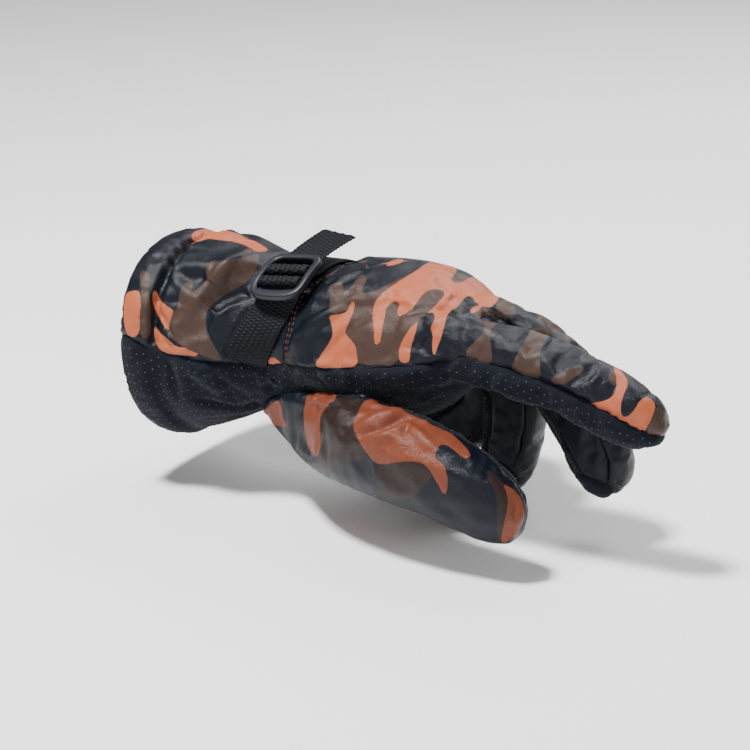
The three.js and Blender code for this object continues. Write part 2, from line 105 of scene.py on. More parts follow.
# Each bone is a share of the digit's length with its pitch and yaw in degrees
digits = {
    "index": {"start": (0.8, -0.372, 1.13), "length": 123.5, "width": 0.99, "height": 31.0, "outer": -1,
              "bones": [(0.267, -2, -1), (0.291, -8, -2), (0.243, -17, -2), (0.199, -24, 0)]},
    "middle": {"start": (0.8, -0.122, 1.35), "length": 123.0, "width": 1.03, "height": 33.0, "outer": 0,
               "bones": [(0.25, -7, 0), (0.275, -26, 0), (0.267, -58, 0), (0.208, -70, 0)]},
    "ring": {"start": (0.74, 0.128, 0.86), "length": 104.0, "width": 1.0, "height": 29.0, "outer": 0,
             "bones": [(0.25, -13, 0), (0.27, -57, 0), (0.27, -94, 0), (0.21, -110, 0)]},
    "little": {"start": (0.65, 0.37, 0.46), "length": 107.0, "width": 0.97, "height": 29.5, "outer": 1,
               "bones": [(0.25, -20, 2), (0.25, -74, 2), (0.27, -139, 0), (0.23, -178, 0)]},
    "thumb": {"start": (0.37, -0.187, -0.91), "length": 155.0, "width": 1.54, "height": 33.0, "outer": 0,
              "bones": [(0.212, -8, -30), (0.218, 0.5, -31), (0.188, -1, -21), (0.165, -9.5, -11),
                        (0.217, -24, -7)]},
}
fingerNames = ["index", "middle", "ring", "little"]
lateral = {name: (0.0, 1.0, 0.0) for name in fingerNames}
lateral["thumb"] = (0.15, -0.3, 0.94)
profileColumns = ("at", "size", "seam")
fingerProfile = [
    (0, 0.9, 1), (0.16, 0.91, 1), (0.3, 0.93, 1), (0.44, 1, 1), (0.58, 0.98, 1), (0.72, 0.96, 0.95),
    (0.84, 0.92, 0.8), (0.92, 0.82, 0.55), (0.97, 0.62, 0.3), (1, 0.3, 0.1),
]
thumbProfile = [
    (0, 0.6, 1), (0.1, 0.67, 1), (0.2, 0.77, 1), (0.32, 0.92, 1), (0.43, 1.02, 1), (0.6, 1.03, 1),
    (0.74, 0.98, 1), (0.84, 0.9, 1), (0.92, 0.8, 1), (0.97, 0.64, 1), (1, 0.4, 1),
]
profiles = {name: fingerProfile for name in fingerNames}
profiles["thumb"] = thumbProfile
seams = {
    "stripHalf": 0.6, "stripInner": 0.16, "stripRoot": 0.04, "stripEnd": 0.965, "backRoot": 0.12,
    "sideReach": 1.03, "webHalf": 1.2, "indexOuter": 0.05,
    "thumb": -0.6, "thumbTip": -0.35, "thumbRoot": 3.5, "thumbRootShare": 0.22,
}
lastAt = bodyTable["hand"][-1][0]

# The photograph's camera, and where its pixels fall on the glove

view = {
    "azimuth": 25.0, "elevation": 18.0, "distance": 1150.0, "target": (101.8, 0.0, -9.4),
    "pixelsPerMm": 2.2, "frame": 750, "sensor": 36.0,
}


# Right, up and back of the camera: its azimuth turns it round the glove, its elevation raises it.
def viewAxes():
    a, e = math.radians(view["azimuth"]), math.radians(view["elevation"])
    back = np.array([math.sin(a) * math.cos(e), -math.cos(a) * math.cos(e), math.sin(e)])
    right = np.array([math.cos(a), math.sin(a), 0.0])
    return right, np.cross(back, right), back


viewRight, viewUp, viewBack = viewAxes()
eye = np.array(view["target"]) + viewBack * view["distance"]


# Perspective of points in millimetres: across and down from the frame's middle, over their depth.
def toPixels(points):
    d = points - eye
    scale = view["pixelsPerMm"] * view["distance"] / -(d @ viewBack)
    half = view["frame"] / 2
    return np.stack([half + (d @ viewRight) * scale, half - (d @ viewUp) * scale], axis=1)


# The lens makes the target's millimetre as many pixels as the view says.
def makeCamera():
    camera = linked("camera", bpy.data.cameras.new("camera"))
    rows = np.stack([viewRight, viewUp, viewBack], axis=1)
    camera.matrix_world = Matrix([[*rows[i], eye[i] * mm] for i in range(3)] + [[0, 0, 0, 1]])
    camera.data.sensor_width = view["sensor"]
    camera.data.lens = view["sensor"] * view["pixelsPerMm"] * view["distance"] / view["frame"]
    camera.data.clip_end = 20
    bpy.context.scene.camera = camera


# Sections and middle lines


# Straight lines between a table's rows, averaged over a stretch of soften on each side.
def column(rows, columns, name, at, soften=0.0):
    ats = [row[0] for row in rows]
    values = [row[columns.index(name)] for row in rows]
    taps = np.linspace(-soften, soften, 5) if soften else [0.0]
    return sum(np.interp(np.asarray(at) + tap, ats, values) for tap in taps) / len(taps)


bodyRows = [row for zone in bodyTable.values() for row in zone]
zoneRows = {
    side: [(row[0], row[bodyColumns.index(side)] * glove[zone][side])
           for zone, rows in bodyTable.items() for row in rows]
    for side in ("width", "height")
}


# A vector over its length
def unit(v):
    return v / np.linalg.norm(v, axis=-1, keepdims=True)


# Even angles round a full turn
def turns(count):
    return np.linspace(0, 2 * np.pi, count, endpoint=False)


# Lengths along a row of points, from 0 at the first
def runAlong(points):
    return np.concatenate([[0], np.cumsum(np.linalg.norm(np.diff(points, axis=0), axis=1))])


# Rows of values at places between the given ones, each column by itself
def between(at, run, rows):
    return np.stack([np.interp(at, run, values) for values in rows.T], axis=-1)


# The number of the line's point that is nearest to each point, and how far that is, squared
def nearestOn(line, points):
    apart = (points**2).sum(1)[:, None] - 2 * points @ line.T + (line**2).sum(1)
    return apart.argmin(1), apart.min(1)


# Middle, side and up directions and half sizes of the sections at shares t of the body's length.
def bodySection(t, soften=0.012):
    t = np.asarray(t, float)
    value = lambda name: column(bodyRows, bodyColumns, name, t, soften)
    tilt = value("tilt")
    lean, turn = (np.radians(glove["cuff"][name]) * tilt for name in ("rimLean", "rimTurn"))
    roll = value("roll") * math.radians(glove["hand"]["roll"])
    slant = value("slant") * math.tan(math.radians(glove["hand"]["slant"]))
    side = unit(np.stack([np.sin(turn) - slant, np.cos(turn), -np.sin(roll)], axis=-1))
    forward = np.stack([np.cos(lean), 0 * lean, -np.sin(lean)], axis=-1)
    middle = np.stack([t * glove["bodyLength"], 0 * t, value("lift") * glove["palmLift"]], axis=-1)
    return {
        "middle": middle, "side": side, "up": unit(np.cross(forward, side)),
        "halfWidth": column(zoneRows["width"], ("at", "v"), "v", t, soften) / 2 * np.hypot(1, slant),
        "halfHeight": column(zoneRows["height"], ("at", "v"), "v", t, soften) / 2,
        "seam": value("seam"),
    }


# A cosine or sine to the power 2 over the squareness, with its sign kept
def rounded(value):
    return np.sign(value) * np.abs(value) ** (2 / glove["squareness"])


# One place on each rounded section: half width times the rounded cosine along side, half height times
# the rounded sine along up.
def onSection(section, angle):
    return (section["middle"] + (section["halfWidth"] * rounded(np.cos(angle)))[:, None] * section["side"]
            + (section["halfHeight"] * rounded(np.sin(angle)))[:, None] * section["up"])


# Whole rounded sections: every angle on each of them, drawn in by the inset.
def sectionPoints(section, angles, inset=0.0):
    across = (section["halfWidth"][..., None] - inset) * rounded(np.cos(angles))
    high = (section["halfHeight"][..., None] - inset) * rounded(np.sin(angles))
    return (section["middle"][..., None, :] + across[..., None] * section["side"][..., None, :]
            + high[..., None] * section["up"][..., None, :])


# A centripetal Catmull-Rom curve through the joints: each span is a cubic whose end slopes follow
# the square roots of the bones' lengths, taken at even steps of its length.
def digitLine(name, samples=400):
    digit = digits[name]
    sizes = (glove["bodyLength"], glove["hand"]["width"], glove["palmLift"])
    points = [np.array([s * size for s, size in zip(digit["start"], sizes)])]
    for share, pitch, yaw in digit["bones"]:
        p, y = math.radians(pitch), math.radians(yaw)
        along = np.array([math.cos(p) * math.cos(y), math.cos(p) * math.sin(y), math.sin(p)])
        points.append(points[-1] + along * share * digit["length"])
    points = [2 * points[0] - points[1], *points, 2 * points[-1] - points[-2]]
    line = []
    for p0, p1, p2, p3 in zip(points, points[1:], points[2:], points[3:]):
        d0, d1, d2 = (math.sqrt(np.linalg.norm(b - a)) for a, b in ((p0, p1), (p1, p2), (p2, p3)))
        t1 = ((p1 - p0) / d0 - (p2 - p0) / (d0 + d1) + (p2 - p1) / d1) * d1
        t2 = ((p2 - p1) / d1 - (p3 - p1) / (d1 + d2) + (p3 - p2) / d2) * d1
        w = np.linspace(0, 1, 60)[:, None]
        line.append(p1 + t1 * w + (3 * (p2 - p1) - 2 * t1 - t2) * w**2 + (2 * (p1 - p2) + t1 + t2) * w**3)
    line = np.concatenate(line)
    run = runAlong(line)
    return between(np.linspace(0, run[-1], samples), run, line)


lines = {name: digitLine(name) for name in digits}


# Sections along a digit: up is square to its line and to the lateral direction.
def digitSection(name, t, soften=0.02):
    t = np.asarray(t, float)
    line = lines[name]
    shares = np.linspace(0, 1, len(line))
    inside = np.clip(t, 0, 1)
    middle = between(inside, shares, line)
    along = unit(between(inside, shares, np.gradient(line, axis=0)))
    up = unit(np.cross(along, lateral[name]))
    size = column(profiles[name], profileColumns, "size", inside, soften)
    return {
        "middle": middle + along * ((t - inside) * digits[name]["length"])[..., None],
        "side": np.cross(up, along), "up": up, "along": along,
        "halfWidth": size * digits[name]["width"] * glove["fingerWidth"] / 2,
        "halfHeight": size * digits[name]["height"] / 2,
        "left": column(profiles[name], profileColumns, "seam", inside, soften),
    }


# Meshes


# Quads between the points of a grid whose rows close on themselves
def gridFaces(rows, columns):
    i, j = np.meshgrid(np.arange(rows - 1), np.arange(columns), indexing="ij")
    n = (j + 1) % columns
    corners = [i * columns + j, i * columns + n, (i + 1) * columns + n, (i + 1) * columns + j]
    return np.stack(corners, axis=-1).reshape(-1, 4)


# Rings of points joined in order, with a middle point closing each end.
def closedTube(rings):
    rows, count = rings.shape[:2]
    points = np.concatenate([rings.reshape(-1, 3), rings[0].mean(0)[None], rings[-1].mean(0)[None]])
    k = np.arange(count)
    n = (k + 1) % count
    last = (rows - 1) * count
    ends = np.concatenate([np.stack([n, k, 0 * k + rows * count], axis=1),
                           np.stack([last + k, last + n, 0 * k + rows * count + 1], axis=1)])
    return points, [*gridFaces(rows, count).tolist(), *ends.tolist()]


def linked(name, data):
    piece = bpy.data.objects.new(name, data)
    bpy.context.scene.collection.objects.link(piece)
    return piece


def objectOf(name, points, faces):
    mesh = bpy.data.meshes.new(name)
    faces = faces if isinstance(faces, list) else faces.tolist()
    mesh.from_pydata((np.asarray(points) * mm).tolist(), [], faces)
    mesh.update()
    return linked(name, mesh)


# Several lists of points and faces as one, with each part's faces counted on.
def joined(parts):
    points, faces, start = [], [], 0
    for partPoints, partFaces in parts:
        points.append(partPoints)
        faces += [[start + int(i) for i in face] for face in partFaces]
        start += len(partPoints)
    return np.concatenate(points), faces


# A piece's points, in millimetres, its corners and the whole numbers its faces carry under a name, all
# once its modifiers are applied
def evaluated(piece, numbers=None):
    mesh = bpy.data.meshes.new_from_object(piece.evaluated_get(bpy.context.evaluated_depsgraph_get()))
    places, corners = np.empty(len(mesh.vertices) * 3), np.empty(len(mesh.loops), int)
    values = np.zeros(len(mesh.polygons), np.int32)
    mesh.vertices.foreach_get("co", places)
    mesh.loops.foreach_get("vertex_index", corners)
    if numbers:
        mesh.attributes[numbers].data.foreach_get("value", values)
    bpy.data.meshes.remove(mesh)
    return places.reshape(-1, 3) / mm, corners, values


def remove(piece):
    mesh = piece.data
    bpy.data.objects.remove(piece)
    bpy.data.meshes.remove(mesh)


# Closed forms fused into one skin of quads
def fused(parts, voxel):
    piece = objectOf("rough", *joined(parts))
    remesh = piece.modifiers.new("fuse", "REMESH")
    remesh.mode = "VOXEL"
    remesh.voxel_size = voxel * mm
    places, corners, _ = evaluated(piece)
    remove(piece)
    return places, corners.reshape(-1, 4)


# The glove's skin: closed forms fused into one, with the cuff open. The body's nose and the digits' tips
# end in a last ring that is a little further on and drawn in.
skin = {
    "voxel": 2.0, "angles": 96, "bodyRings": 110, "digitRings": 90, "pastRim": 12.0,
    "nose": 1.2, "noseInset": 4.0, "tipAt": 1.006, "tipInset": 2.0,
    "rounds": 5, "give": 0.5, "back": 0.52,
}


# The body and each digit as rings of their sections, from before the rim to the nose and the tips
def skinForms():
    angles = turns(skin["angles"])
    bodyRings = sectionPoints(bodySection(np.linspace(0, lastAt, skin["bodyRings"])), angles)
    before = bodyRings[:1] - [skin["pastRim"], 0, 0]
    end = bodySection([lastAt])
    end["middle"] = end["middle"] + [skin["nose"], 0, 0]
    nose = sectionPoints(end, angles, skin["noseInset"])
    parts = [closedTube(np.concatenate([before, bodyRings, nose]))]
    for name in digits:
        rings = sectionPoints(digitSection(name, np.linspace(0, 1, skin["digitRings"])), angles[::2])
        tip = sectionPoints(digitSection(name, [skin["tipAt"]]), angles[::2], skin["tipInset"])
        parts.append(closedTube(np.concatenate([rings, tip])))
    return parts


makeCamera()
skinPoints, skinFaces = fused(skinForms(), skin["voxel"])
report(f"fused skin: {len(skinPoints)} points")

# Panels. Each has a field in millimetres that is positive on its own cloth, and the largest one wins.

panelNames = ["cuffBack", "backPanel", "palmPanel", "thumbBack", "thumbFront",
              "sideStripIndexMiddle", "sideStripMiddleRing", "sideStripRingLittle"]
panelNumber = {name: i for i, name in enumerate(panelNames)}


# Where points lie in the body's own sections: share of its length, side and up in millimetres.
def bodyPlace(points):
    t = points[:, 0] / glove["bodyLength"]
    for _ in range(5):
        section = bodySection(np.clip(t, -0.05, lastAt))
        forward = np.cross(section["side"], section["up"])
        off = ((points - section["middle"]) * forward).sum(1)
        t = np.clip(t + off / glove["bodyLength"], -0.05, lastAt)
    section = bodySection(t)
    offset = points - section["middle"]
    return {"t": t, "s": (offset * section["side"]).sum(1), "h": (offset * section["up"]).sum(1), **section}


# Where points lie along the nearest part of a digit's middle line, and across it.
def digitPlace(name, points):
    line = lines[name][::4]
    t = nearestOn(line, points)[0] / (len(line) - 1)
    for _ in range(2):
        section = digitSection(name, t)
        t = t + ((points - section["middle"]) * section["along"]).sum(1) / digits[name]["length"]
        t = np.clip(t, -0.1, 1.06)
    section = digitSection(name, t)
    offset = points - section["middle"]
    return {"t": t, "s": (offset * section["side"]).sum(1), "h": (offset * section["up"]).sum(1), **section}


# Rough distance outside a rounded section: its rounded radius less one, times the smaller half.
def beyond(place):
    e = glove["squareness"]
    aside, above = np.abs(place["s"] / place["halfWidth"]), np.abs(place["h"] / place["halfHeight"])
    radius = (aside**e + above**e) ** (1 / e)
    return (radius - 1) * np.minimum(place["halfWidth"], place["halfHeight"])


# The share of a finger's line where it comes out of the slanted end of the body
def webShare(name):
    past = lines[name][:, 0] + lines[name][:, 1] * math.tan(math.radians(glove["hand"]["slant"]))
    return np.argmax(past > lastAt * glove["bodyLength"] - glove["wall"]) / (len(lines[name]) - 1)


webs = {name: webShare(name) for name in fingerNames}


# Distance past the seam across the wrist, which comes forward over the middle of the back like a bell.
def crossSeam(points):
    seam = glove["wristSeam"]
    bell = np.exp(-((points[:, 1] - seam["centre"]) / seam["spread"]) ** 2)
    return points[:, 0] - seam["at"] * glove["bodyLength"] - seam["peak"] * bell


# Back of the hand: height over the long seam, or over a finger's own middle. Side strips: bands along
# a finger's sides, joined by the web between two roots. Thumb: where the body is further away than the
# thumb, parted by its own seam. Each is the least of its distances to its own limits.
def panelFields(points):
    body = bodyPlace(points)
    places = {name: digitPlace(name, points) for name in digits}
    back = np.minimum(body["h"] - body["seam"] * body["halfHeight"],
                      (lastAt + 0.01) * glove["bodyLength"] - points[:, 0])
    bands = {}
    for name in fingerNames:
        place, digit = places[name], digits[name]
        halfWidth, halfHeight = digit["width"] * glove["fingerWidth"] / 2, digit["height"] / 2
        seam = np.interp(place["s"] * digit["outer"], [-halfWidth, halfWidth],
                         [0, seams["indexOuter"]]) if digit["outer"] < 0 else 0
        along = place["t"] * digit["length"]
        web = webs[name] * digit["length"]
        reach = seams["sideReach"] * halfWidth
        finger = np.minimum.reduce([place["h"] - seam * halfHeight, reach - np.abs(place["s"]),
                                    along - web + seams["backRoot"] * digit["length"]])
        back = np.maximum(back, finger)
        for sign in (1, -1):
            bands[name, sign] = np.minimum.reduce([
                seams["stripHalf"] * place["left"] * halfHeight - np.abs(place["h"]),
                sign * place["s"] - seams["stripInner"] * halfWidth, reach - sign * place["s"],
                along - web + seams["stripRoot"] * digit["length"],
                seams["stripEnd"] * digit["length"] - along])
    strips = []
    for left, right in zip(fingerNames, fingerNames[1:]):
        roots = [digitSection(name, webs[name])["middle"] for name in (left, right)]
        halves = [seams["stripHalf"] * digits[name]["height"] / 2 for name in (left, right)]
        y = (digits[left]["start"][1] + digits[right]["start"][1]) / 2 * glove["hand"]["width"]
        low = min(root[2] - half for root, half in zip(roots, halves))
        high = max(root[2] + half for root, half in zip(roots, halves))
        back0, front0 = min(r[0] for r in roots) - glove["wall"], max(r[0] for r in roots) + glove["wall"]
        web = np.minimum.reduce([
            seams["webHalf"] * glove["wall"] - np.abs(points[:, 1] - y), points[:, 2] - low,
            high - points[:, 2], points[:, 0] - back0, front0 - points[:, 0]])
        strips.append(np.maximum.reduce([bands[left, 1], bands[right, -1], web]))
    anyStrip = np.maximum.reduce(strips)
    thumbAt = places["thumb"]["t"]
    rootShare = np.clip(1 - thumbAt / seams["thumbRootShare"], 0, 1)
    thumb = beyond(body) - beyond(places["thumb"]) - seams["thumbRoot"] * rootShare
    turn = np.interp(thumbAt, [0.8, 1.0], [seams["thumb"], seams["thumbTip"]])
    thumbUp = places["thumb"]["h"] - turn * digits["thumb"]["height"] / 2
    cross = crossSeam(points)
    notThumb = np.minimum(-thumb, -anyStrip)
    fields = [np.minimum.reduce([back, -cross, notThumb]), np.minimum.reduce([back, cross, notThumb]),
              np.minimum(-back, notThumb), np.minimum(thumb, thumbUp), np.minimum(thumb, -thumbUp)]
    fields += [np.minimum(strip, -thumb) for strip in strips]
    return np.stack(fields, axis=1)


# Both ends of every side of every face
def sidesOf(faces):
    n = faces.shape[1]
    return np.concatenate([faces[:, [i, (i + 1) % n]] for i in range(n)])


# Each edge once, or only those that belong to a single face
def edgesOf(faces, border=False):
    edges, count = np.unique(np.sort(sidesOf(faces), axis=1), axis=0, return_counts=True)
    return edges[count == 1] if border else edges


# The mean of each point's neighbours along the edges.
def neighbourMean(values, edges):
    both = np.concatenate([edges, edges[:, ::-1]])
    count = np.bincount(both[:, 0], minlength=len(values))
    sums = [np.bincount(both[:, 0], weights=column[both[:, 1]], minlength=len(values)) for column in values.T]
    return np.stack(sums, axis=1) / np.maximum(count, 1)[:, None]


# Values moved towards their neighbours' mean by give, and away again by back, in each round.
def relaxed(values, edges, rounds, give=0.5, back=0.0):
    for _ in range(rounds):
        values = values + give * (neighbourMean(values, edges) - values)
        if back:
            values = values - back * (neighbourMean(values, edges) - values)
    return values


# Points moved along their edges onto the place where a field changes sign. here and there are the
# field at each edge's two ends, with here positive; each point takes its shortest move.
def snapped(points, edges, here, there, free):
    share = here / (here - there)
    near = np.where(share < 0.5, 0, 1)
    mover = np.where(near == 0, edges[:, 0], edges[:, 1])
    target = points[edges[:, 0]] + share[:, None] * (points[edges[:, 1]] - points[edges[:, 0]])
    move = np.linalg.norm(target - points[mover], axis=1)
    keep = free[mover]
    order = np.lexsort((move[keep], mover[keep]))
    movers, first = np.unique(mover[keep][order], return_index=True)
    points = points.copy()
    points[movers] = target[keep][order][first]
    return points, movers


rim = bodySection([0.0], 0)
rimForward = np.cross(rim["side"], rim["up"])[0]


# The skin without the faces before the cuff's rim, its open edge lying in the rim's plane.
def cutAtRim(points, faces):
    field = (points - rim["middle"]) @ rimForward
    edges = edgesOf(faces)
    crossing = field[edges[:, 0]] * field[edges[:, 1]] < 0
    edges = edges[crossing]
    flip = field[edges[:, 0]] < 0
    edges[flip] = edges[flip][:, ::-1]
    free = np.ones(len(points), bool)
    points, movers = snapped(points, edges, field[edges[:, 0]], field[edges[:, 1]], free)
    field[movers] = 0
    faces = faces[(field[faces] > -1e-6).all(1)]
    used = np.unique(faces)
    index = np.full(len(points), -1)
    index[used] = np.arange(len(used))
    return points[used], index[faces]


# The skin with its points snapped to the seams, as quads and triangles with a panel for each.
def panelled(points, faces):
    edges = edgesOf(faces)
    fields = relaxed(panelFields(points), edges, 4)
    label = fields.argmax(1)
    split = edges[label[edges[:, 0]] != label[edges[:, 1]]]
    a, b = label[split[:, 0]], label[split[:, 1]]
    here = fields[split[:, 0], a] - fields[split[:, 0], b]
    there = fields[split[:, 1], a] - fields[split[:, 1], b]
    border = np.bincount(edgesOf(faces, border=True).ravel(), minlength=len(points)) > 0
    points, movers = snapped(points, split, here, there, ~border)
    neutral = np.zeros(len(points), bool)
    neutral[movers] = True
    known = np.where(neutral, -1, label)[faces]
    centre = fields[faces].mean(1).argmax(1)
    high = known.max(1)
    low = np.where(known < 0, 99, known).min(1)
    mixed = (high >= 0) & (low != high)
    faceLabel = np.where(high < 0, centre, np.where(mixed, centre, high))
    diagonal = mixed & neutral[faces[:, 0]] & neutral[faces[:, 2]]
    other = mixed & neutral[faces[:, 1]] & neutral[faces[:, 3]] & ~diagonal
    quads, quadLabel = faces[~(diagonal | other)], faceLabel[~(diagonal | other)]
    tris, triLabel = [], []
    for mask, order in ((diagonal, ((0, 1, 2), (0, 2, 3))), (other, ((1, 2, 3), (1, 3, 0)))):
        for corners in order:
            tris.append(faces[mask][:, corners])
            triLabel.append(known[mask][:, corners].max(1))
    return points, quads, quadLabel, np.concatenate(tris), np.concatenate(triLabel)


skinPoints, skinFaces = cutAtRim(skinPoints, skinFaces)
skinPoints = relaxed(skinPoints, edgesOf(skinFaces), skin["rounds"], skin["give"], skin["back"])
skinPoints, quads, quadLabels, tris, triLabels = panelled(skinPoints, skinFaces)
report(f"panels: {len(quads)} quads and {len(tris)} triangles")


# Padding: cloth simulation swells the skin between its seams and gathers it along them

padding = {
    "frames": 14, "quality": 4, "pressure": 2.2, "stretch": -0.035, "bending": 1.2, "tension": 12.0,
    "mass": 0.25, "furthest": 2.6, "rim": 2.0, "line": 0.008,
}


# Unit normals: the cross product of each face's diagonals, summed at its points
def pointNormals(points, quads, tris):
    across = np.cross(points[quads[:, 2]] - points[quads[:, 0]], points[quads[:, 3]] - points[quads[:, 1]])
    small = np.cross(points[tris[:, 1]] - points[tris[:, 0]], points[tris[:, 2]] - points[tris[:, 0]])
    total = np.zeros_like(points)
    for faces, normal in ((quads, across), (tris, small)):
        for corner in faces.T:
            for axis in range(3):
                total[:, axis] += np.bincount(corner, weights=normal[:, axis], minlength=len(points))
    return unit(total + 1e-12)


# The lowest and the highest panel number at each point: they differ on a seam
def seamPoints(count, quads, quadLabels, tris, triLabels):
    low, high = np.full(count, 99), np.full(count, -1)
    for faces, labels in ((quads, quadLabels), (tris, triLabels)):
        for corner in faces.T:
            np.minimum.at(low, corner, labels)
            np.maximum.at(high, corner, labels)
    return low, high


# The strap's way round the wrist: 0 at the buckle, -1 at the seam below it and 1 at the seam far over.
# Shift is along the glove; yaw and tilt turn the line across the strap from the glove's long way.

strap = {
    "width": 21.0, "thickness": 1.2, "clearance": 0.3, "tailLength": 18.0, "tailRise": 4.0, "tailSide": 11.0,
    "seam": {"shift": -16.0, "yaw": 4.0, "tilt": -15.0}, "far": {"shift": 2.0, "yaw": -5.0, "tilt": 0.0},
    "bend": 1.5, "samples": 70,
}
buckle = {
    "at": 0.418, "angle": 122.0, "yaw": -7.0, "tilt": 7.0, "width": 29.0, "length": 29.0, "thickness": 3.4,
    "side": 3.5, "bar": 2.6, "firstBar": -4.9, "secondBar": 3.1, "arch": 1.3, "gap": 0.4,
}
buckleBase = bodySection([buckle["at"]], 0)
# The seam's angle on a rounded section: its rounded sine is the seam's height.
seamAngle = math.asin(abs(float(buckleBase["seam"][0])) ** (glove["squareness"] / 2))


# At u along the strap's way: the point on the plain form, the line across the strap and the way out.
def strapWay(u):
    u = np.asarray(u, float)
    angle = np.interp(u, [-1, 0, 1], [math.pi + seamAngle, math.radians(buckle["angle"]), -seamAngle])
    marks = strap["seam"], buckle, strap["far"]
    turn = lambda name: np.radians(np.interp(u, [-1, 0, 1], [mark[name] for mark in marks]))
    yaw, tilt = turn("yaw"), turn("tilt")
    shift = np.abs(u) ** strap["bend"] * np.where(u < 0, strap["seam"]["shift"], strap["far"]["shift"])
    centre = onSection(bodySection(buckle["at"] + shift / glove["bodyLength"], 0), angle)
    return centre, np.stack([np.cos(yaw) * np.cos(tilt), np.sin(yaw) * np.cos(tilt), np.sin(tilt)], axis=1)


wayU = np.linspace(-1, 1, strap["samples"])
wayCentre, wayAcross = strapWay(wayU)
wayOut = unit(np.cross(wayAcross, np.gradient(wayCentre, axis=0)))
wayOut *= np.sign((wayOut * (wayCentre - buckleBase["middle"])).sum(1))[:, None]

# The buckle's own frame: its foot on the glove, the line across it, the way along and the way out
foot, across = (rows[0] for rows in strapWay([0.0]))
outward = wayOut[np.abs(wayU).argmin()]
outward = unit(outward - across * (outward @ across))
alongStrap = np.cross(outward, across)
alongStrap *= np.sign(alongStrap[2] * 0.5 + alongStrap[1])
layer = strap["thickness"] + strap["clearance"]
onGlove = strap["clearance"] + strap["thickness"] / 2
frameHeight = 2 * layer + buckle["gap"] + buckle["thickness"] / 2


# Points given by their way along the strap, out from the glove and across
def nearBuckle(rows):
    return np.array([foot + alongStrap * s + outward * n + across * (x[0] if x else 0.0)
                     for s, n, *x in rows])


# 1 under the strap, fading to 0 over a few millimetres beside it, from the nearest place of its way
def underBand(points, fade=4.0):
    nearest, apart = nearestOn(wayCentre, points)
    beside = np.abs(((points - wayCentre[nearest]) * wayAcross[nearest]).sum(1))
    inside = (nearest > 0) & (nearest < len(wayCentre) - 1) & (apart < (strap["width"] * 1.2) ** 2)
    return np.clip(1 - (beside - strap["width"] / 2) / fade, 0, 1) * inside


# Blender's cloth on the whole skin: pinned at the seams, the rim and under the strap, grown a little in
# itself so that it wrinkles, and blown up from inside. Moves are cut to the furthest allowed.
def swollen(points, quads, tris, pins):
    faces = quads.tolist() + tris.tolist()
    piece = objectOf("padding", points, faces)
    group = piece.vertex_groups.new(name="pins")
    for level in np.unique(np.round(pins, 1)):
        if level > 0:
            group.add(np.nonzero(np.abs(pins - level) < 0.05)[0].tolist(), float(level), "REPLACE")
    cloth = piece.modifiers.new("cloth", "CLOTH")
    settings = cloth.settings
    settings.quality = padding["quality"]
    settings.mass = padding["mass"]
    settings.tension_stiffness = settings.compression_stiffness = padding["tension"]
    settings.bending_stiffness = padding["bending"]
    settings.vertex_group_mass = "pins"
    settings.use_pressure = True
    settings.uniform_pressure_force = padding["pressure"]
    settings.shrink_min = padding["stretch"]
    settings.effector_weights.gravity = 0
    cloth.collision_settings.use_collision = False
    scene = bpy.context.scene
    cloth.point_cache.frame_start, cloth.point_cache.frame_end = 1, padding["frames"]
    for number in range(1, padding["frames"] + 1):
        scene.frame_set(number)
    moved = evaluated(piece)[0]
    scene.frame_set(1)
    remove(piece)
    move = moved - points
    far = np.linalg.norm(move, axis=1, keepdims=True)
    return points + move * np.minimum(1, padding["furthest"] / np.maximum(far, 1e-9))


elastic = {"groove": 0.095, "palmGather": 0.385}  # shares of the body's length
body = bodyPlace(skinPoints)
low, high = seamPoints(len(skinPoints), quads, quadLabels, tris, triLabels)
pins = np.where(low != high, 1.0, 0.0)
onElastic = [(high == low) & (low == panelNumber[name]) & (np.abs(body["t"] - at) < padding["line"])
             for name, at in (("cuffBack", elastic["groove"]), ("palmPanel", elastic["palmGather"]))]
atRim = skinPoints[:, 0] < padding["rim"]
pins = np.maximum.reduce([pins, atRim, *onElastic, np.round(underBand(skinPoints), 1)])
skinPoints = swollen(skinPoints, quads, tris, pins)
report("padding")


# One level of subdivision, with each face's panel handed on to its parts
def refined(points, quads, quadLabels, tris, triLabels):
    piece = objectOf("fine", points, quads.tolist() + tris.tolist())
    number = piece.data.attributes.new("panel", "INT", "FACE")
    number.data.foreach_set("value", np.concatenate([quadLabels, triLabels]).astype(np.int32))
    smooth = piece.modifiers.new("smooth", "SUBSURF")
    smooth.levels = smooth.render_levels = 1
    fine, corners, labels = evaluated(piece, "panel")
    remove(piece)
    return fine, corners.reshape(-1, 4), labels


points, faces, labels = refined(skinPoints, quads, quadLabels, tris, triLabels)
noTris = np.empty((0, 3), int)
edges = edgesOf(faces)
report(f"fine skin: {len(points)} points, panels {np.bincount(labels).tolist()}")
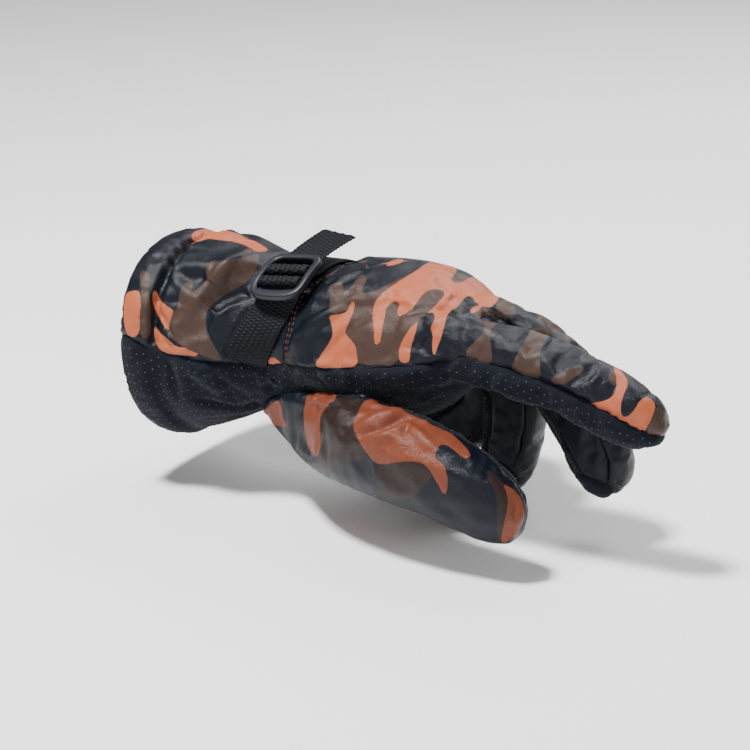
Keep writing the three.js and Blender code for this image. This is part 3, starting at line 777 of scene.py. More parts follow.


# Camouflage: printed patches, charted in the picture's pixels, later ones over earlier ones

patches = {
    "cuffBack": [
        ("orange", [(125, 294), (130, 291), (140, 290), (141, 306), (140, 336), (127, 338), (123, 318)]),
        ("brown", [(139, 274), (143, 270), (148, 272), (151, 278), (148, 290), (151, 306), (151, 333),
                  (147, 339), (141, 338), (139, 318), (141, 306), (141, 287)]),
        ("orange", [(153, 290), (156, 290), (160, 300), (168, 307), (174, 310), (172, 318), (169, 327),
                   (169, 333), (164, 326), (156, 312), (152, 300)]),
        ("orange", [(154, 324), (160, 333), (170, 341), (176, 347), (190, 348), (196, 350), (199, 357),
                   (184, 355), (168, 354), (158, 349), (154, 336)]),
        ("orange", [(193, 232), (202, 229), (217, 228), (229, 230), (242, 235), (255, 241), (272, 251),
                   (254, 252), (248, 246), (232, 241), (217, 240), (208, 238), (196, 243), (191, 238)]),
        ("brown", [(208, 264), (214, 261), (226, 261), (240, 258), (257, 254), (261, 254), (255, 272),
                  (245, 284), (226, 294), (214, 303), (208, 309), (205, 318), (206, 327), (211, 341),
                  (220, 355), (223, 360), (214, 360), (202, 355), (186, 349), (174, 341), (169, 333),
                  (169, 324), (173, 312), (179, 306), (179, 292), (184, 284), (191, 281), (193, 286),
                  (190, 293), (200, 287), (208, 278), (205, 270)]),
        ("brown", [(243, 249), (254, 248), (252, 253), (245, 253)]),
        ("orange", [(271, 355), (281, 363), (284, 368), (265, 367)]),
    ],
    "backPanel": [
        ("brown", [(327, 286), (343, 280), (343, 293), (352, 288), (358, 275), (366, 274), (366, 282),
                  (361, 291), (366, 294), (382, 288), (400, 278), (420, 270), (420, 351), (397, 360),
                  (394, 364), (358, 366), (351, 351), (344, 333), (346, 322), (354, 308), (351, 303),
                  (346, 312), (328, 314), (331, 298)]),
        ("brown", [(355, 260), (368, 260), (367, 263), (358, 263)]),
        ("brown", [(364, 264), (368, 264), (369, 270), (367, 270)]),
        ("orange", [(328, 315), (346, 314), (351, 303), (352, 301), (355, 303), (354, 310), (349, 322),
                   (345, 331), (346, 335), (355, 344), (357, 354), (358, 366), (342, 368), (313, 368),
                   (320, 356), (327, 346), (332, 338), (333, 332), (331, 322)]),
        ("orange", [(385, 266), (391, 260), (404, 259), (402, 263), (390, 266)]),
        ("navy", [(415, 318), (430, 310), (445, 300), (445, 330), (434, 364), (405, 364), (412, 340)]),
        ("orange", [(380, 295), (393, 285), (416, 271), (426, 263), (437, 260), (450, 263), (457, 268),
                   (456, 273), (451, 278), (452, 282), (458, 283), (464, 281), (470, 277), (483, 277),
                   (492, 283), (502, 291), (499, 299), (493, 306), (488, 308), (479, 304), (475, 302),
                   (473, 298), (468, 295), (463, 299), (459, 306), (448, 312), (445, 322), (441, 339),
                   (437, 348), (435, 355), (433, 355), (432, 348), (433, 334), (430, 328), (434, 321),
                   (435, 316), (433, 312), (428, 313), (418, 320), (416, 331), (413, 341), (410, 350),
                   (410, 363), (399, 363), (399, 349), (398, 339), (380, 341), (378, 345), (374, 344),
                   (374, 331), (372, 312), (375, 302)]),
        ("brown", [(380, 339), (385, 316), (386, 307), (392, 302), (397, 301), (400, 305), (397, 311),
                  (398, 316), (401, 316), (410, 311), (416, 304), (421, 296), (428, 290), (437, 289),
                  (444, 290), (444, 296), (438, 303), (430, 311), (418, 321), (410, 328), (403, 339),
                  (399, 349), (396, 365), (380, 366)]),
        ("brown", [(456, 274), (466, 274), (469, 278), (464, 281), (458, 283), (452, 282), (451, 278)]),
        ("orange", [(470, 310), (474, 306), (482, 305), (483, 306), (475, 314), (471, 313)]),
        ("brown", [(472, 314), (483, 307), (493, 310), (504, 314), (510, 318), (501, 322), (493, 326),
                  (489, 334), (491, 345), (493, 367), (465, 360), (467, 349), (475, 341), (483, 334),
                  (485, 326), (482, 320)]),
        ("brown", [(536, 326), (552, 331), (544, 342), (540, 352), (540, 369), (541, 380), (526, 379),
                  (510, 372), (516, 355), (523, 345), (529, 333)]),
        ("brown", [(556, 376), (572, 366), (587, 366), (577, 376), (561, 387), (548, 380)]),
        ("orange", [(613, 363), (617, 366), (630, 382), (623, 395), (620, 408), (622, 417), (628, 417),
                   (636, 408), (639, 401), (647, 396), (656, 403), (654, 416), (647, 427), (642, 437),
                   (630, 436), (615, 424), (599, 416), (584, 404), (606, 401), (614, 395), (617, 385),
                   (615, 376)]),
        ("brown", [(609, 371), (614, 369), (617, 379), (615, 387), (609, 382)]),
        ("brown", [(657, 404), (665, 412), (671, 424), (669, 436), (644, 439), (652, 417)]),
        ("brown", [(504, 297), (513, 298), (514, 309), (518, 315), (504, 314), (494, 307)]),
        ("brown", [(537, 312), (552, 318), (570, 331), (584, 346), (561, 336), (537, 321)]),
    ],
    "thumbBack": [
        ("orange", [(261, 414), (270, 405), (278, 399), (282, 407), (283, 420), (289, 428), (278, 426),
                   (267, 423), (261, 419)]),
        ("orange", [(307, 394), (322, 391), (339, 394), (330, 405), (322, 412), (319, 424), (321, 440),
                   (318, 459), (311, 453), (306, 442), (303, 416), (305, 403)]),
        ("brown", [(339, 395), (365, 398), (354, 426), (359, 442), (368, 455), (361, 462), (339, 462),
                  (324, 477), (318, 459), (321, 440), (319, 424), (324, 409)]),
        ("orange", [(365, 397), (409, 400), (418, 409), (433, 418), (455, 436), (472, 454), (468, 459),
                   (461, 457), (450, 446), (440, 444), (436, 450), (435, 459), (444, 464), (448, 477),
                   (447, 492), (444, 496), (435, 479), (424, 462), (402, 461), (378, 466), (368, 455),
                   (359, 442), (352, 426), (357, 414)]),
        ("brown", [(378, 466), (402, 461), (424, 462), (433, 477), (422, 488), (413, 500), (396, 500),
                  (380, 488), (376, 474)]),
        ("brown", [(485, 468), (496, 475), (507, 488), (507, 507), (502, 543), (497, 540), (497, 511),
                  (496, 492), (489, 481)]),
        ("orange", [(502, 483), (515, 490), (523, 501), (525, 518), (516, 537), (500, 546), (503, 527),
                   (508, 507), (507, 492)]),
    ],
}

# Where the picture shows nothing the print goes on as a seeded pattern of the same size of blob
sprawl = {"seed": 11, "waves": 9, "length": (34.0, 62.0), "stretch": (1.0, 1.5, 1.5),
          "orange": 0.42, "brown": 0.3, "limit": 6.0}
# For each printed colour, whether a patch of it adds to the orange and to the brown field or cuts them back
adds = {"orange": (True, False), "brown": (False, True), "navy": (False, False)}


# Each corner cut to a quarter and three quarters of its sides: a smooth closed outline.
def roundedOutline(corners, rounds=2):
    outline = np.array(corners, float)
    for _ in range(rounds):
        after = np.roll(outline, -1, axis=0)
        pair = [0.75 * outline + 0.25 * after, 0.25 * outline + 0.75 * after]
        outline = np.stack(pair, axis=1).reshape(-1, 2)
    return outline


# Distance from flat points to the nearest segment of a line, and the share of its length there.
def lineDistance(flat, line):
    best, where = np.full(len(flat), 1e9), np.zeros(len(flat))
    run = runAlong(line)
    for k, (a, b) in enumerate(zip(line, line[1:])):
        side = b - a
        share = np.clip(((flat - a) @ side) / max(side @ side, 1e-9), 0, 1)
        gap = np.linalg.norm(flat - a - share[:, None] * side, axis=1)
        nearer = gap < best
        best = np.where(nearer, gap, best)
        where = np.where(nearer, (run[k] + share * (run[k + 1] - run[k])) / run[-1], where)
    return best, where


# Signed distance to a closed outline, positive inside: inside where a ray to the right crosses its
# sides an odd number of times.
def outlineDistance(flat, outline):
    closed = np.concatenate([outline, outline[:1]])
    gap = lineDistance(flat, closed)[0]
    inside = np.zeros(len(flat), bool)
    for a, b in zip(closed, closed[1:]):
        if a[1] != b[1]:
            crosses = (a[1] > flat[:, 1]) != (b[1] > flat[:, 1])
            at = a[0] + (flat[:, 1] - a[1]) * (b[0] - a[0]) / (b[1] - a[1])
            inside ^= crosses & (flat[:, 0] < at)
    return np.where(inside, gap, -gap)


# Sum of sine waves with random directions, lengths and phases, over the size of its own slope.
def sineField(points, seed, waves, length, stretch=(1, 1, 1)):
    rng = np.random.default_rng(seed)
    total, slope = np.zeros(len(points)), 0.0
    for _ in range(waves):
        direction = unit(rng.normal(size=3)) * stretch
        number = 2 * np.pi / rng.uniform(*length)
        total += np.sin(points @ direction * number + rng.uniform(0, 2 * np.pi))
        slope += (number * np.linalg.norm(direction)) ** 2 / 2
    return total, math.sqrt(slope)


# A share from low to high, clipped, as three squares less two cubes of it.
def smoothStep(low, high, value):
    share = np.clip((value - low) / (high - low), 0, 1)
    return share * share * (3 - 2 * share)


# How much a point counts as seen: from its normal's share towards the camera.
def seenShare(points, normals, low=-0.02, high=0.12):
    return smoothStep(low, high, (normals * unit(eye - points)).sum(1))


# Two sums of waves, each less its threshold and over its slope; brown keeps off orange.
def sprawlFields(points):
    fields = []
    for number, name in enumerate(("orange", "brown")):
        total, slope = sineField(points, sprawl["seed"] + number, sprawl["waves"], sprawl["length"],
                                 sprawl["stretch"])
        fields.append((total - sprawl[name] * math.sqrt(sprawl["waves"])) / slope)
    orange, brown = fields
    return orange, np.minimum(brown, -orange)


# Print fields in millimetres: the charted outlines where the picture shows the cloth, the sprawl elsewhere.
def printFields(name, points, normals):
    flat, limit = toPixels(points), sprawl["limit"]
    margin = limit * view["pixelsPerMm"] + 3
    fields = [np.full(len(points), -limit) for _ in range(2)]
    for colour, corners in patches[name]:
        outline = roundedOutline(corners)
        near = ((flat > outline.min(0) - margin) & (flat < outline.max(0) + margin)).all(1)
        gap = np.full(len(points), -limit)
        gap[near] = outlineDistance(flat[near], outline) / view["pixelsPerMm"]
        fields = [np.maximum(field, gap) if more else np.minimum(field, -gap)
                  for field, more in zip(fields, adds[colour])]
    seen = seenShare(points, normals)
    return [np.clip(field, -limit, limit) * seen + np.clip(other, -limit, limit) * (1 - seen)
            for field, other in zip(fields, sprawlFields(points))]


# Relief: seams drawn in, gathers, the strap's squeeze and the folds of the picture

relief = {
    "seamDepth": 1.0, "seamWidth": 1.5, "reach": 12.0, "rounds": 12,
    "pucker": {"height": 0.45, "length": (6.0, 11.0), "reach": 4.5, "waves": 8, "seed": 3, "peak": 2.7},
    "wrinkle": {"height": 0.12, "length": (7.0, 16.0), "waves": 10, "seed": 5},
    "hemGroove": {"depth": 4.0, "width": 1.6, "pleat": 0.5, "pleatLength": (5.0, 8.0),
                  "pleatReach": 8.0, "seed": 8},
    "palmGather": {"depth": 1.6, "width": 2.2, "pleat": 0.8, "pleatLength": (5.0, 8.0),
                   "pleatReach": 7.0, "seed": 9},
    "squeeze": {"depth": 0.8, "bulge": 1.1, "reach": 5.0, "under": 1.5}, "foldScale": 1.9,
}
# Folds: height in millimetres, negative for a crease, half width, and a line in the picture's pixels
folds = {
    "cuffBack": [
        (2.4, 5, [(206, 288), (232, 268), (257, 254)]), (-1.6, 3.5, [(208, 308), (225, 299), (243, 288)]),
        (1.0, 4, [(177, 267), (208, 267), (235, 262)]),
        (-1.2, 1.3, [(156, 306), (166, 325), (172, 337), (176, 350)]),
        (-1.2, 1.6, [(153.6, 324), (163.6, 342), (174, 351)]),
        (1.0, 3, [(187, 318), (196, 300), (210, 285), (226, 270), (255, 256)]),
        (0.9, 1.8, [(217, 318), (228, 308), (243, 304)]), (-0.9, 1.6, [(240, 287), (246, 294), (252, 300)]),
    ],
    "palmPanel": [
        (-1.8, 3, [(160, 352), (166, 368), (174, 388), (177, 405)]),
        (-1.0, 1.4, [(198, 398), (217, 405), (240, 409), (257, 404)]),
        (-1.0, 2, [(217, 377), (232, 390), (248, 397)]),
        (0.8, 2.5, [(182, 356), (196, 372), (214, 388), (230, 402)]),
    ],
    "backPanel": [
        (1.3, 3, [(315, 287), (339, 278), (375, 270), (419, 264)]),
        (-0.9, 2, [(330, 276), (360, 268), (395, 263)]),
        (1.3, 3.5, [(369, 295), (351, 303), (329, 315), (307, 329), (287, 349)]),
        (-0.9, 2.2, [(352, 310), (330, 322), (308, 338)]),
        (-0.9, 2, [(320, 361), (339, 339), (351, 327), (372, 312)]),
        (1.0, 2, [(287, 315), (283, 327), (289, 339)]), (-1.0, 1.1, [(436, 316), (446, 306), (458, 298)]),
        (-0.7, 1.0, [(438, 310), (450, 299), (462, 293)]),
        (-0.9, 1.3, [(410, 349.5), (430, 330), (442.5, 321)]),
        (-0.5, 1.4, [(515, 350), (520, 360), (526, 372)]), (-0.5, 1.4, [(560, 352), (556, 366), (560, 382)]),
        (0.6, 1.6, [(600, 372), (590, 386), (588, 400)]),
    ],
    "thumbBack": [
        (1.4, 2.5, [(354, 431), (380, 418), (409, 411)]), (-1.2, 1.8, [(356, 437), (380, 427), (405, 419)]),
        (1.3, 2.2, [(359, 442), (383, 437), (407, 427), (417, 433), (437, 451)]),
        (0.8, 4, [(416, 461), (453, 470), (481, 483), (509, 490)]),
        (-0.8, 1.5, [(300, 400), (318, 408), (340, 404)]),
    ],
}


# Each point's nearest seam point, handed on along the edges in rounds while it comes nearer.
def nearestSeam(points, edges, isSeam, rounds):
    distance = np.where(isSeam, 0.0, 1e6)
    source = np.where(isSeam, np.arange(len(points)), 0)
    both = np.concatenate([edges, edges[:, ::-1]])
    for _ in range(rounds):
        candidate = np.linalg.norm(points[both[:, 0]] - points[source[both[:, 1]]], axis=1)
        candidate[distance[both[:, 1]] > 1e5] = 1e6
        better = candidate < distance[both[:, 0]]
        order = np.argsort(-candidate[better])
        target, origin = both[better][order].T
        source[target] = source[origin]
        distance[target] = candidate[better][order]
    return distance, source


# A dip with the shape of a bell across a line, and pleats that cross it: waves at even heights either side
def gather(points, offset, setting):
    total, _ = sineField(points * [0.15, 1, 1], setting["seed"], 7, setting["pleatLength"])
    pleat = setting["pleat"] * total / math.sqrt(7) * np.exp(-(offset / setting["pleatReach"]) ** 2)
    return pleat - setting["depth"] * np.exp(-(offset / setting["width"]) ** 2)


# Moves along the normals, all as bells of a distance: seams drawn in, puckers beside them, small
# wrinkles, gathers, the picture's folds where the camera sees them, and the strap's squeeze.
def withRelief(points, faces, labels, edges):
    normals = pointNormals(points, faces, noTris)
    low, high = seamPoints(len(points), faces, labels, noTris, noTris[:, 0])
    distance, source = nearestSeam(points, edges, low != high, relief["rounds"])
    distance = np.minimum(distance, relief["reach"])
    move = -relief["seamDepth"] * np.exp(-(distance / relief["seamWidth"]) ** 2)
    pucker = relief["pucker"]
    wave, _ = sineField(points[source], pucker["seed"], pucker["waves"], pucker["length"])
    ratio = distance / pucker["reach"]
    near = distance < relief["reach"] - 0.01
    height = pucker["height"] * wave / math.sqrt(pucker["waves"])
    move += height * pucker["peak"] * ratio * np.exp(-ratio ** 2 - 0.5) * near
    wrinkle = relief["wrinkle"]
    small, _ = sineField(points, wrinkle["seed"], wrinkle["waves"], wrinkle["length"])
    move += wrinkle["height"] * small / math.sqrt(wrinkle["waves"])
    clear = smoothStep(0.3, 2.5, distance)
    place = bodyPlace(points)
    along = place["t"] * glove["bodyLength"]
    for name, setting, at in (("cuffBack", relief["hemGroove"], elastic["groove"]),
                              ("palmPanel", relief["palmGather"], elastic["palmGather"])):
        here = (low == panelNumber[name]) & (high == low)
        if name == "palmPanel":
            here &= beyond(place) < 3
        move += np.where(here, clear * gather(points, along - at * glove["bodyLength"], setting), 0)
    under = underBand(points, relief["squeeze"]["under"])
    around = underBand(points, relief["squeeze"]["reach"])
    seen = seenShare(points, normals, 0.0, 0.25)
    flat = toPixels(points)
    for name, lines in folds.items():
        here = np.nonzero((low == panelNumber[name]) & (high == low) & (seen > 0))[0]
        for height, width, line in lines:
            gap, share = lineDistance(flat[here], np.array(line, float))
            gap = gap / view["pixelsPerMm"]
            bell = np.exp(-(gap / width) ** 2) * np.sin(np.pi * np.clip(share, 0.04, 0.96)) ** 0.6
            move[here] += relief["foldScale"] * height * bell * seen[here] * clear[here] * (1 - under[here])
    move += (around - under) * relief["squeeze"]["bulge"] * clear - under * relief["squeeze"]["depth"]
    return points + normals * move[:, None], distance


points, seamDistance = withRelief(points, faces, labels, edges)
points = relaxed(points, edges, 1, give=0.3)
report("relief")


# The strap lies on the finished skin: rays from outside find its height under the strap's width, a
# straight line is fitted across, raised by most of what stands above it, and evened out along the way.
band = {
    "rays": 9, "start": 20.0, "raise": 0.65, "even": 5, "skin": 0.15, "sink": 4.5, "sinkFrom": 0.88,
    "beside": 1.2, "fade": 0.6, "frame": 1.0, "frameGap": 0.3, "frameDeep": 8.0,
}


def bandOnSkin():
    tree = BVHTree.FromPolygons(points.tolist(), faces.tolist())
    offsets = np.linspace(-0.5, 0.5, band["rays"]) * strap["width"]
    rows = []
    for centre, side, out in zip(wayCentre, wayAcross, wayOut):
        heights = []
        for offset in offsets:
            hit = tree.ray_cast(Vector(centre + side * offset + out * band["start"]), Vector(-out))
            heights.append(band["start"] - hit[3] if hit[0] is not None else np.nan)
        heights = np.array(heights)
        good = ~np.isnan(heights)
        slope, level = np.polyfit(offsets[good], heights[good], 1) if good.sum() > 2 else (0.0, 0.0)
        above = (heights[good] - level - slope * offsets[good]).max() if good.any() else 0.0
        rows.append((level + band["raise"] * above, slope))
    rows = np.array(rows)
    for _ in range(band["even"]):
        rows[1:-1] = 0.25 * rows[:-2] + 0.5 * rows[1:-1] + 0.25 * rows[2:]
    return rows


bandRows = bandOnSkin()
# Both ends sink into the seams that hold them.
sunk = band["sink"] * np.clip((np.abs(wayU) - band["sinkFrom"]) / (1 - band["sinkFrom"]), 0, 1) ** 1.5
bandCentre = wayCentre + wayOut * (bandRows[:, :1] + onGlove - sunk[:, None])
bandAcross = unit(wayAcross + wayOut * bandRows[:, 1:])


# Skin that stands higher than the strap's or the buckle's underside is pressed down under it.
def pressed(points):
    nearest, apart = nearestOn(wayCentre, points)
    offset = points - wayCentre[nearest]
    beside = (offset * wayAcross[nearest]).sum(1)
    height = (offset * wayOut[nearest]).sum(1)
    limit = bandRows[nearest, 0] + bandRows[nearest, 1] * beside + band["skin"]
    near = (apart < (strap["width"] * 0.9) ** 2) & (nearest > 0) & (nearest < len(wayCentre) - 1)
    past = np.abs(beside) / (strap["width"] / 2 + band["beside"]) - 1
    fade = np.clip(1 - past / band["fade"], 0, 1)
    push = np.where(near & (height > limit), (height - limit) * fade, 0)
    points = points - wayOut[nearest] * push[:, None]
    local = points - foot
    inFrame = ((np.abs(local @ across) < buckle["width"] / 2 + band["frame"])
               & (np.abs(local @ alongStrap) < buckle["length"] / 2 + band["frame"])
               & (np.abs(local @ outward) < band["frameDeep"]))
    over = np.maximum(local @ outward - band["frameGap"], 0) * inFrame
    return points - outward * over[:, None]


points = pressed(points)
report("strap's way on the skin")


# The cuff's edge is turned over: rows of faces roll from the skin's open edge to its inside
hem = {"rows": [(-0.9, 0.7), (-1.2, 1.8), (-0.8, 2.9), (1.0, 3.5), (5.0, 3.6)]}  # forward, inward


# Each row is the open edge moved forward and inward by its two numbers.
def rolledHem(points, faces, labels):
    pairs = sidesOf(faces)
    owner = np.tile(np.arange(len(faces)), 4)
    _, inverse, count = np.unique(np.sort(pairs, axis=1), axis=0, return_inverse=True, return_counts=True)
    border = count[inverse.ravel()] == 1
    pairs, owner = pairs[border], owner[border]
    ring, index = np.unique(pairs, return_inverse=True)
    index = index.reshape(pairs.shape)
    normals = pointNormals(points, faces, noTris)[ring]
    inward = unit(-normals * [0, 1, 1])
    rows, before, start = [points], ring, len(points)
    newFaces, newLabels = [faces], [labels]
    for ahead, inside in hem["rows"]:
        rows.append(points[ring] + rimForward * ahead + inward * inside)
        after = start + np.arange(len(ring))
        start += len(ring)
        newFaces.append(np.stack([before[index[:, 1]], before[index[:, 0]],
                                  after[index[:, 0]], after[index[:, 1]]], axis=1))
        newLabels.append(labels[owner])
        before = after
    return np.concatenate(rows), np.concatenate(newFaces), np.concatenate(newLabels)


points, faces, labels = rolledHem(points, faces, labels)


# Materials. Colours are linear; print edges and grain are in millimetres.

# thumbShade makes the thumb's orange and brown patches darker: painted shade on the thumb, not a different
# print
cloths = {
    "navy": (0.0025, 0.0042, 0.0085), "brown": (0.046, 0.026, 0.019), "orange": (0.37, 0.092, 0.039),
    "thumbShade": (0.4, 0.4, 0.45), "edge": 0.22, "edgeWave": 0.25, "roughness": (0.3, 0.42),
    "specular": 0.21, "grainPerMm": 1.15, "grainSteep": 3.0, "grainTop": 0.6, "grainDepth": 0.13,
    "grain": 0.8, "finePerMm": 2.2, "edgePerMm": 0.9, "mottlePerMm": 0.35, "mottle": (0.35, 0.82),
    "creasePerMm": 0.12, "creaseStretch": (0.8, 1.2, 1.2), "creaseDepth": 0.8, "crease": 0.3,
    "roughPerMm": 0.25,
}
knit = {
    "wavePerMm": 0.272, "distortion": 1.4, "wave": 0.7, "fuzzPerMm": 3.0, "fuzz": 0.6, "depth": 0.22,
    "strength": 0.7, "tonePerMm": 1.6, "tone": (0.9, 0.55), "sheen": 0.06, "sheenRoughness": 0.5,
}


# Gives a socket a link, a colour or a number
def give(tree, socket, value):
    if isinstance(value, bpy.types.NodeSocket):
        tree.links.new(value, socket)
    else:
        socket.default_value = (*value, 1) if isinstance(value, tuple) else value


# A material with its tree and shader
def newMaterial(name, colour=(0.5, 0.5, 0.5), roughness=0.6, specular=0.5):
    material = bpy.data.materials.new(name)
    material.use_nodes = True
    shader = material.node_tree.nodes["Principled BSDF"]
    for socket, value in (("Base Color", colour), ("Roughness", roughness), ("Specular IOR Level", specular)):
        give(material.node_tree, shader.inputs[socket], value)
    return material, material.node_tree, shader


def node(tree, kind, **settings):
    made = tree.nodes.new("ShaderNode" + kind)
    for name, value in settings.items():
        setattr(made, name, value)
    return made


# Object coordinates in millimetres, stretched by scale
def objectPlace(tree, scale=(1, 1, 1)):
    place, mapping = node(tree, "TexCoord"), node(tree, "Mapping")
    mapping.inputs["Scale"].default_value = [s / mm for s in scale]
    tree.links.new(place.outputs["Object"], mapping.inputs["Vector"])
    return mapping.outputs["Vector"]


def noise(tree, place, perMm, detail=2.0, roughness=0.5):
    made = node(tree, "TexNoise")
    for name, value in (("Vector", place), ("Scale", perMm), ("Detail", detail), ("Roughness", roughness)):
        give(tree, made.inputs[name], value)
    return made.outputs["Fac"]


def maths(tree, operation, *values):
    made = node(tree, "Math", operation=operation)
    for socket, value in zip(made.inputs, values):
        give(tree, socket, value)
    return made.outputs[0]


def bump(tree, height, distance, strength=1.0, under=None):
    made = node(tree, "Bump")
    for name, value in (("Distance", distance * mm), ("Strength", strength), ("Height", height)):
        give(tree, made.inputs[name], value)
    if under is not None:
        give(tree, made.inputs["Normal"], under)
    return made.outputs["Normal"]


def mixed(tree, factor, first, second):
    made = node(tree, "Mix", data_type="RGBA")
    for socket, value in zip((made.inputs[0], made.inputs[6], made.inputs[7]), (factor, first, second)):
        give(tree, socket, value)
    return made.outputs[2]


# A value times a swing, and a base added
def spread(tree, value, swing, base):
    return maths(tree, "ADD", maths(tree, "MULTIPLY", value, swing), base)


# The shader's colour, made lighter or darker by a factor
def lifted(tree, shader, colour, factor):
    made = node(tree, "HueSaturation")
    give(tree, made.inputs["Color"], colour)
    give(tree, made.inputs["Value"], factor)
    give(tree, shader.inputs["Base Color"], made.outputs["Color"])


# Printed coated cloth: the two print fields turn to sharp edges, over a fine leather grain.
def camouflageMaterial(name, tone=(1, 1, 1)):
    material, tree, shader = newMaterial(name, specular=cloths["specular"])
    place = objectPlace(tree)
    wave = maths(tree, "SUBTRACT", noise(tree, place, cloths["edgePerMm"], 3), 0.5)
    wave = maths(tree, "MULTIPLY", wave, cloths["edgeWave"] * 2)
    half = cloths["edge"] / 2
    colour = cloths["navy"]
    for field in ("brown", "orange"):
        attribute = node(tree, "Attribute", attribute_name=field + "Field")
        shifted = maths(tree, "ADD", attribute.outputs["Fac"], wave)
        sharp = node(tree, "MapRange")
        for name, value in (("Value", shifted), ("From Min", -half), ("From Max", half)):
            give(tree, sharp.inputs[name], value)
        # The patches' colours times the tone; on the thumb this tone is painted shade
        patch = tuple(c * t for c, t in zip(cloths[field], tone))
        colour = mixed(tree, sharp.outputs["Result"], colour, patch)
    mottle = noise(tree, place, cloths["mottlePerMm"], 4, 0.6)
    lifted(tree, shader, colour, spread(tree, mottle, *cloths["mottle"]))
    spots = node(tree, "TexVoronoi", feature="DISTANCE_TO_EDGE")
    give(tree, spots.inputs["Vector"], place)
    give(tree, spots.inputs["Scale"], cloths["grainPerMm"])
    grain = maths(tree, "MULTIPLY", spots.outputs["Distance"], cloths["grainSteep"])
    grain = maths(tree, "MINIMUM", grain, cloths["grainTop"])
    fine = maths(tree, "ADD", grain, noise(tree, place, cloths["finePerMm"], 3))
    grainBump = bump(tree, fine, cloths["grainDepth"], cloths["grain"])
    crinkle = noise(tree, objectPlace(tree, cloths["creaseStretch"]), cloths["creasePerMm"], 1.5, 0.4)
    creased = bump(tree, crinkle, cloths["creaseDepth"], cloths["crease"], grainBump)
    tree.links.new(creased, shader.inputs["Normal"])
    low, high = cloths["roughness"]
    rough = spread(tree, noise(tree, place, cloths["roughPerMm"], 3), high - low, low)
    tree.links.new(rough, shader.inputs["Roughness"])
    return material


# Knitted cloth: fine crossing waves and fuzz
def knitMaterial(name, colour, roughness):
    material, tree, shader = newMaterial(name, colour, roughness, 0.12)
    place = objectPlace(tree)
    waves = []
    for axis in ("X", "DIAGONAL"):
        made = node(tree, "TexWave", wave_type="BANDS", bands_direction=axis)
        for socket, value in (("Vector", place), ("Scale", knit["wavePerMm"]),
                              ("Distortion", knit["distortion"]), ("Detail", 2)):
            give(tree, made.inputs[socket], value)
        waves.append(made.outputs["Fac"])
    fuzz = maths(tree, "MULTIPLY", noise(tree, place, knit["fuzzPerMm"], 3), knit["fuzz"])
    total = spread(tree, maths(tree, "MULTIPLY", *waves), knit["wave"], fuzz)
    tree.links.new(bump(tree, total, knit["depth"], knit["strength"]), shader.inputs["Normal"])
    lift = spread(tree, noise(tree, place, knit["tonePerMm"], 4, 0.7), *knit["tone"])
    lifted(tree, shader, colour, lift)
    shader.inputs["Sheen Weight"].default_value = knit["sheen"]
    shader.inputs["Sheen Roughness"].default_value = knit["sheenRoughness"]
    return material


# Plain stretch cloth: fine noise over broad soft waves
def stretchMaterial():
    material, tree, shader = newMaterial("sideStrip", (0.004, 0.0055, 0.01), 0.48, 0.18)
    place = objectPlace(tree)
    tree.links.new(bump(tree, noise(tree, place, 2.6, 3), 0.12, 0.5,
                        bump(tree, noise(tree, place, 0.14, 3), 1.2, 0.5)), shader.inputs["Normal"])
    return material


# Fleece: coarse noise and sheen
def fleeceMaterial():
    material, tree, shader = newMaterial("fleece", (0.3, 0.285, 0.255), 0.95, 0.15)
    place = objectPlace(tree)
    tree.links.new(bump(tree, noise(tree, place, 0.9, 5, 0.7), 0.8, 0.9), shader.inputs["Normal"])
    shader.inputs["Sheen Weight"].default_value = 0.5
    return material


# Thread or moulded plastic: one even noise
def threadyMaterial(name, colour, roughness, specular, perMm, depth):
    material, tree, shader = newMaterial(name, colour, roughness, specular)
    tree.links.new(bump(tree, noise(tree, objectPlace(tree), perMm, 2), depth, 0.6), shader.inputs["Normal"])
    return material


finishes = {
    "camouflage": camouflageMaterial("camouflage"),
    # The thumb's camouflage is a darker copy of the same print: painted shade
    "thumbShadedCamouflage": camouflageMaterial("thumbShadedCamouflage", cloths["thumbShade"]),
    "grip_cloth": knitMaterial("gripCloth", (0.0045, 0.006, 0.011), 0.9),
    "side_strip": stretchMaterial(),
    "fleece": fleeceMaterial(),
    "webbing": threadyMaterial("webbing", (0.003, 0.0036, 0.006), 0.6, 0.14, 3.0, 0.1),
    "grip_dots": newMaterial("gripDots", (0.06, 0.067, 0.085), 0.45, 0.3)[0],
    "thread": threadyMaterial("thread", (0.17, 0.06, 0.026), 0.6, 0.3, 4.0, 0.08),
    "buckle_plastic": threadyMaterial("bucklePlastic", (0.009, 0.0105, 0.014), 0.42, 0.35, 1.4, 0.03),
}


# Panels as pieces of their own, each thickened inwards, with the print's fields on the outer cloth

panelLooks = {
    "cuffBack": ("cuff_back", "camouflage"), "backPanel": ("back_panel", "camouflage"),
    "palmPanel": ("palm_panel", "grip_cloth"), "thumbBack": ("thumb_back", "camouflage"),
    "thumbFront": ("thumb_front", "grip_cloth"),
    "sideStripIndexMiddle": ("side_strip_index_middle", "side_strip"),
    "sideStripMiddleRing": ("side_strip_middle_ring", "side_strip"),
    "sideStripRingLittle": ("side_strip_ring_little", "side_strip"),
}
shell = {"thickness": 1.5, "fill": 0.5}


# A piece smoothly shaded, with its looks, and said what it rides and what it stands for; its fill is not used
def settled(piece, slotName, *nodes, looks=None, fill=None):
    piece.data.polygons.foreach_set("use_smooth", np.ones(len(piece.data.polygons), bool))
    for look in looks or [slotName]:
        piece.data.materials.append(finishes[look])
    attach(piece, "root")
    if nodes:
        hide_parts(*nodes)
    return piece


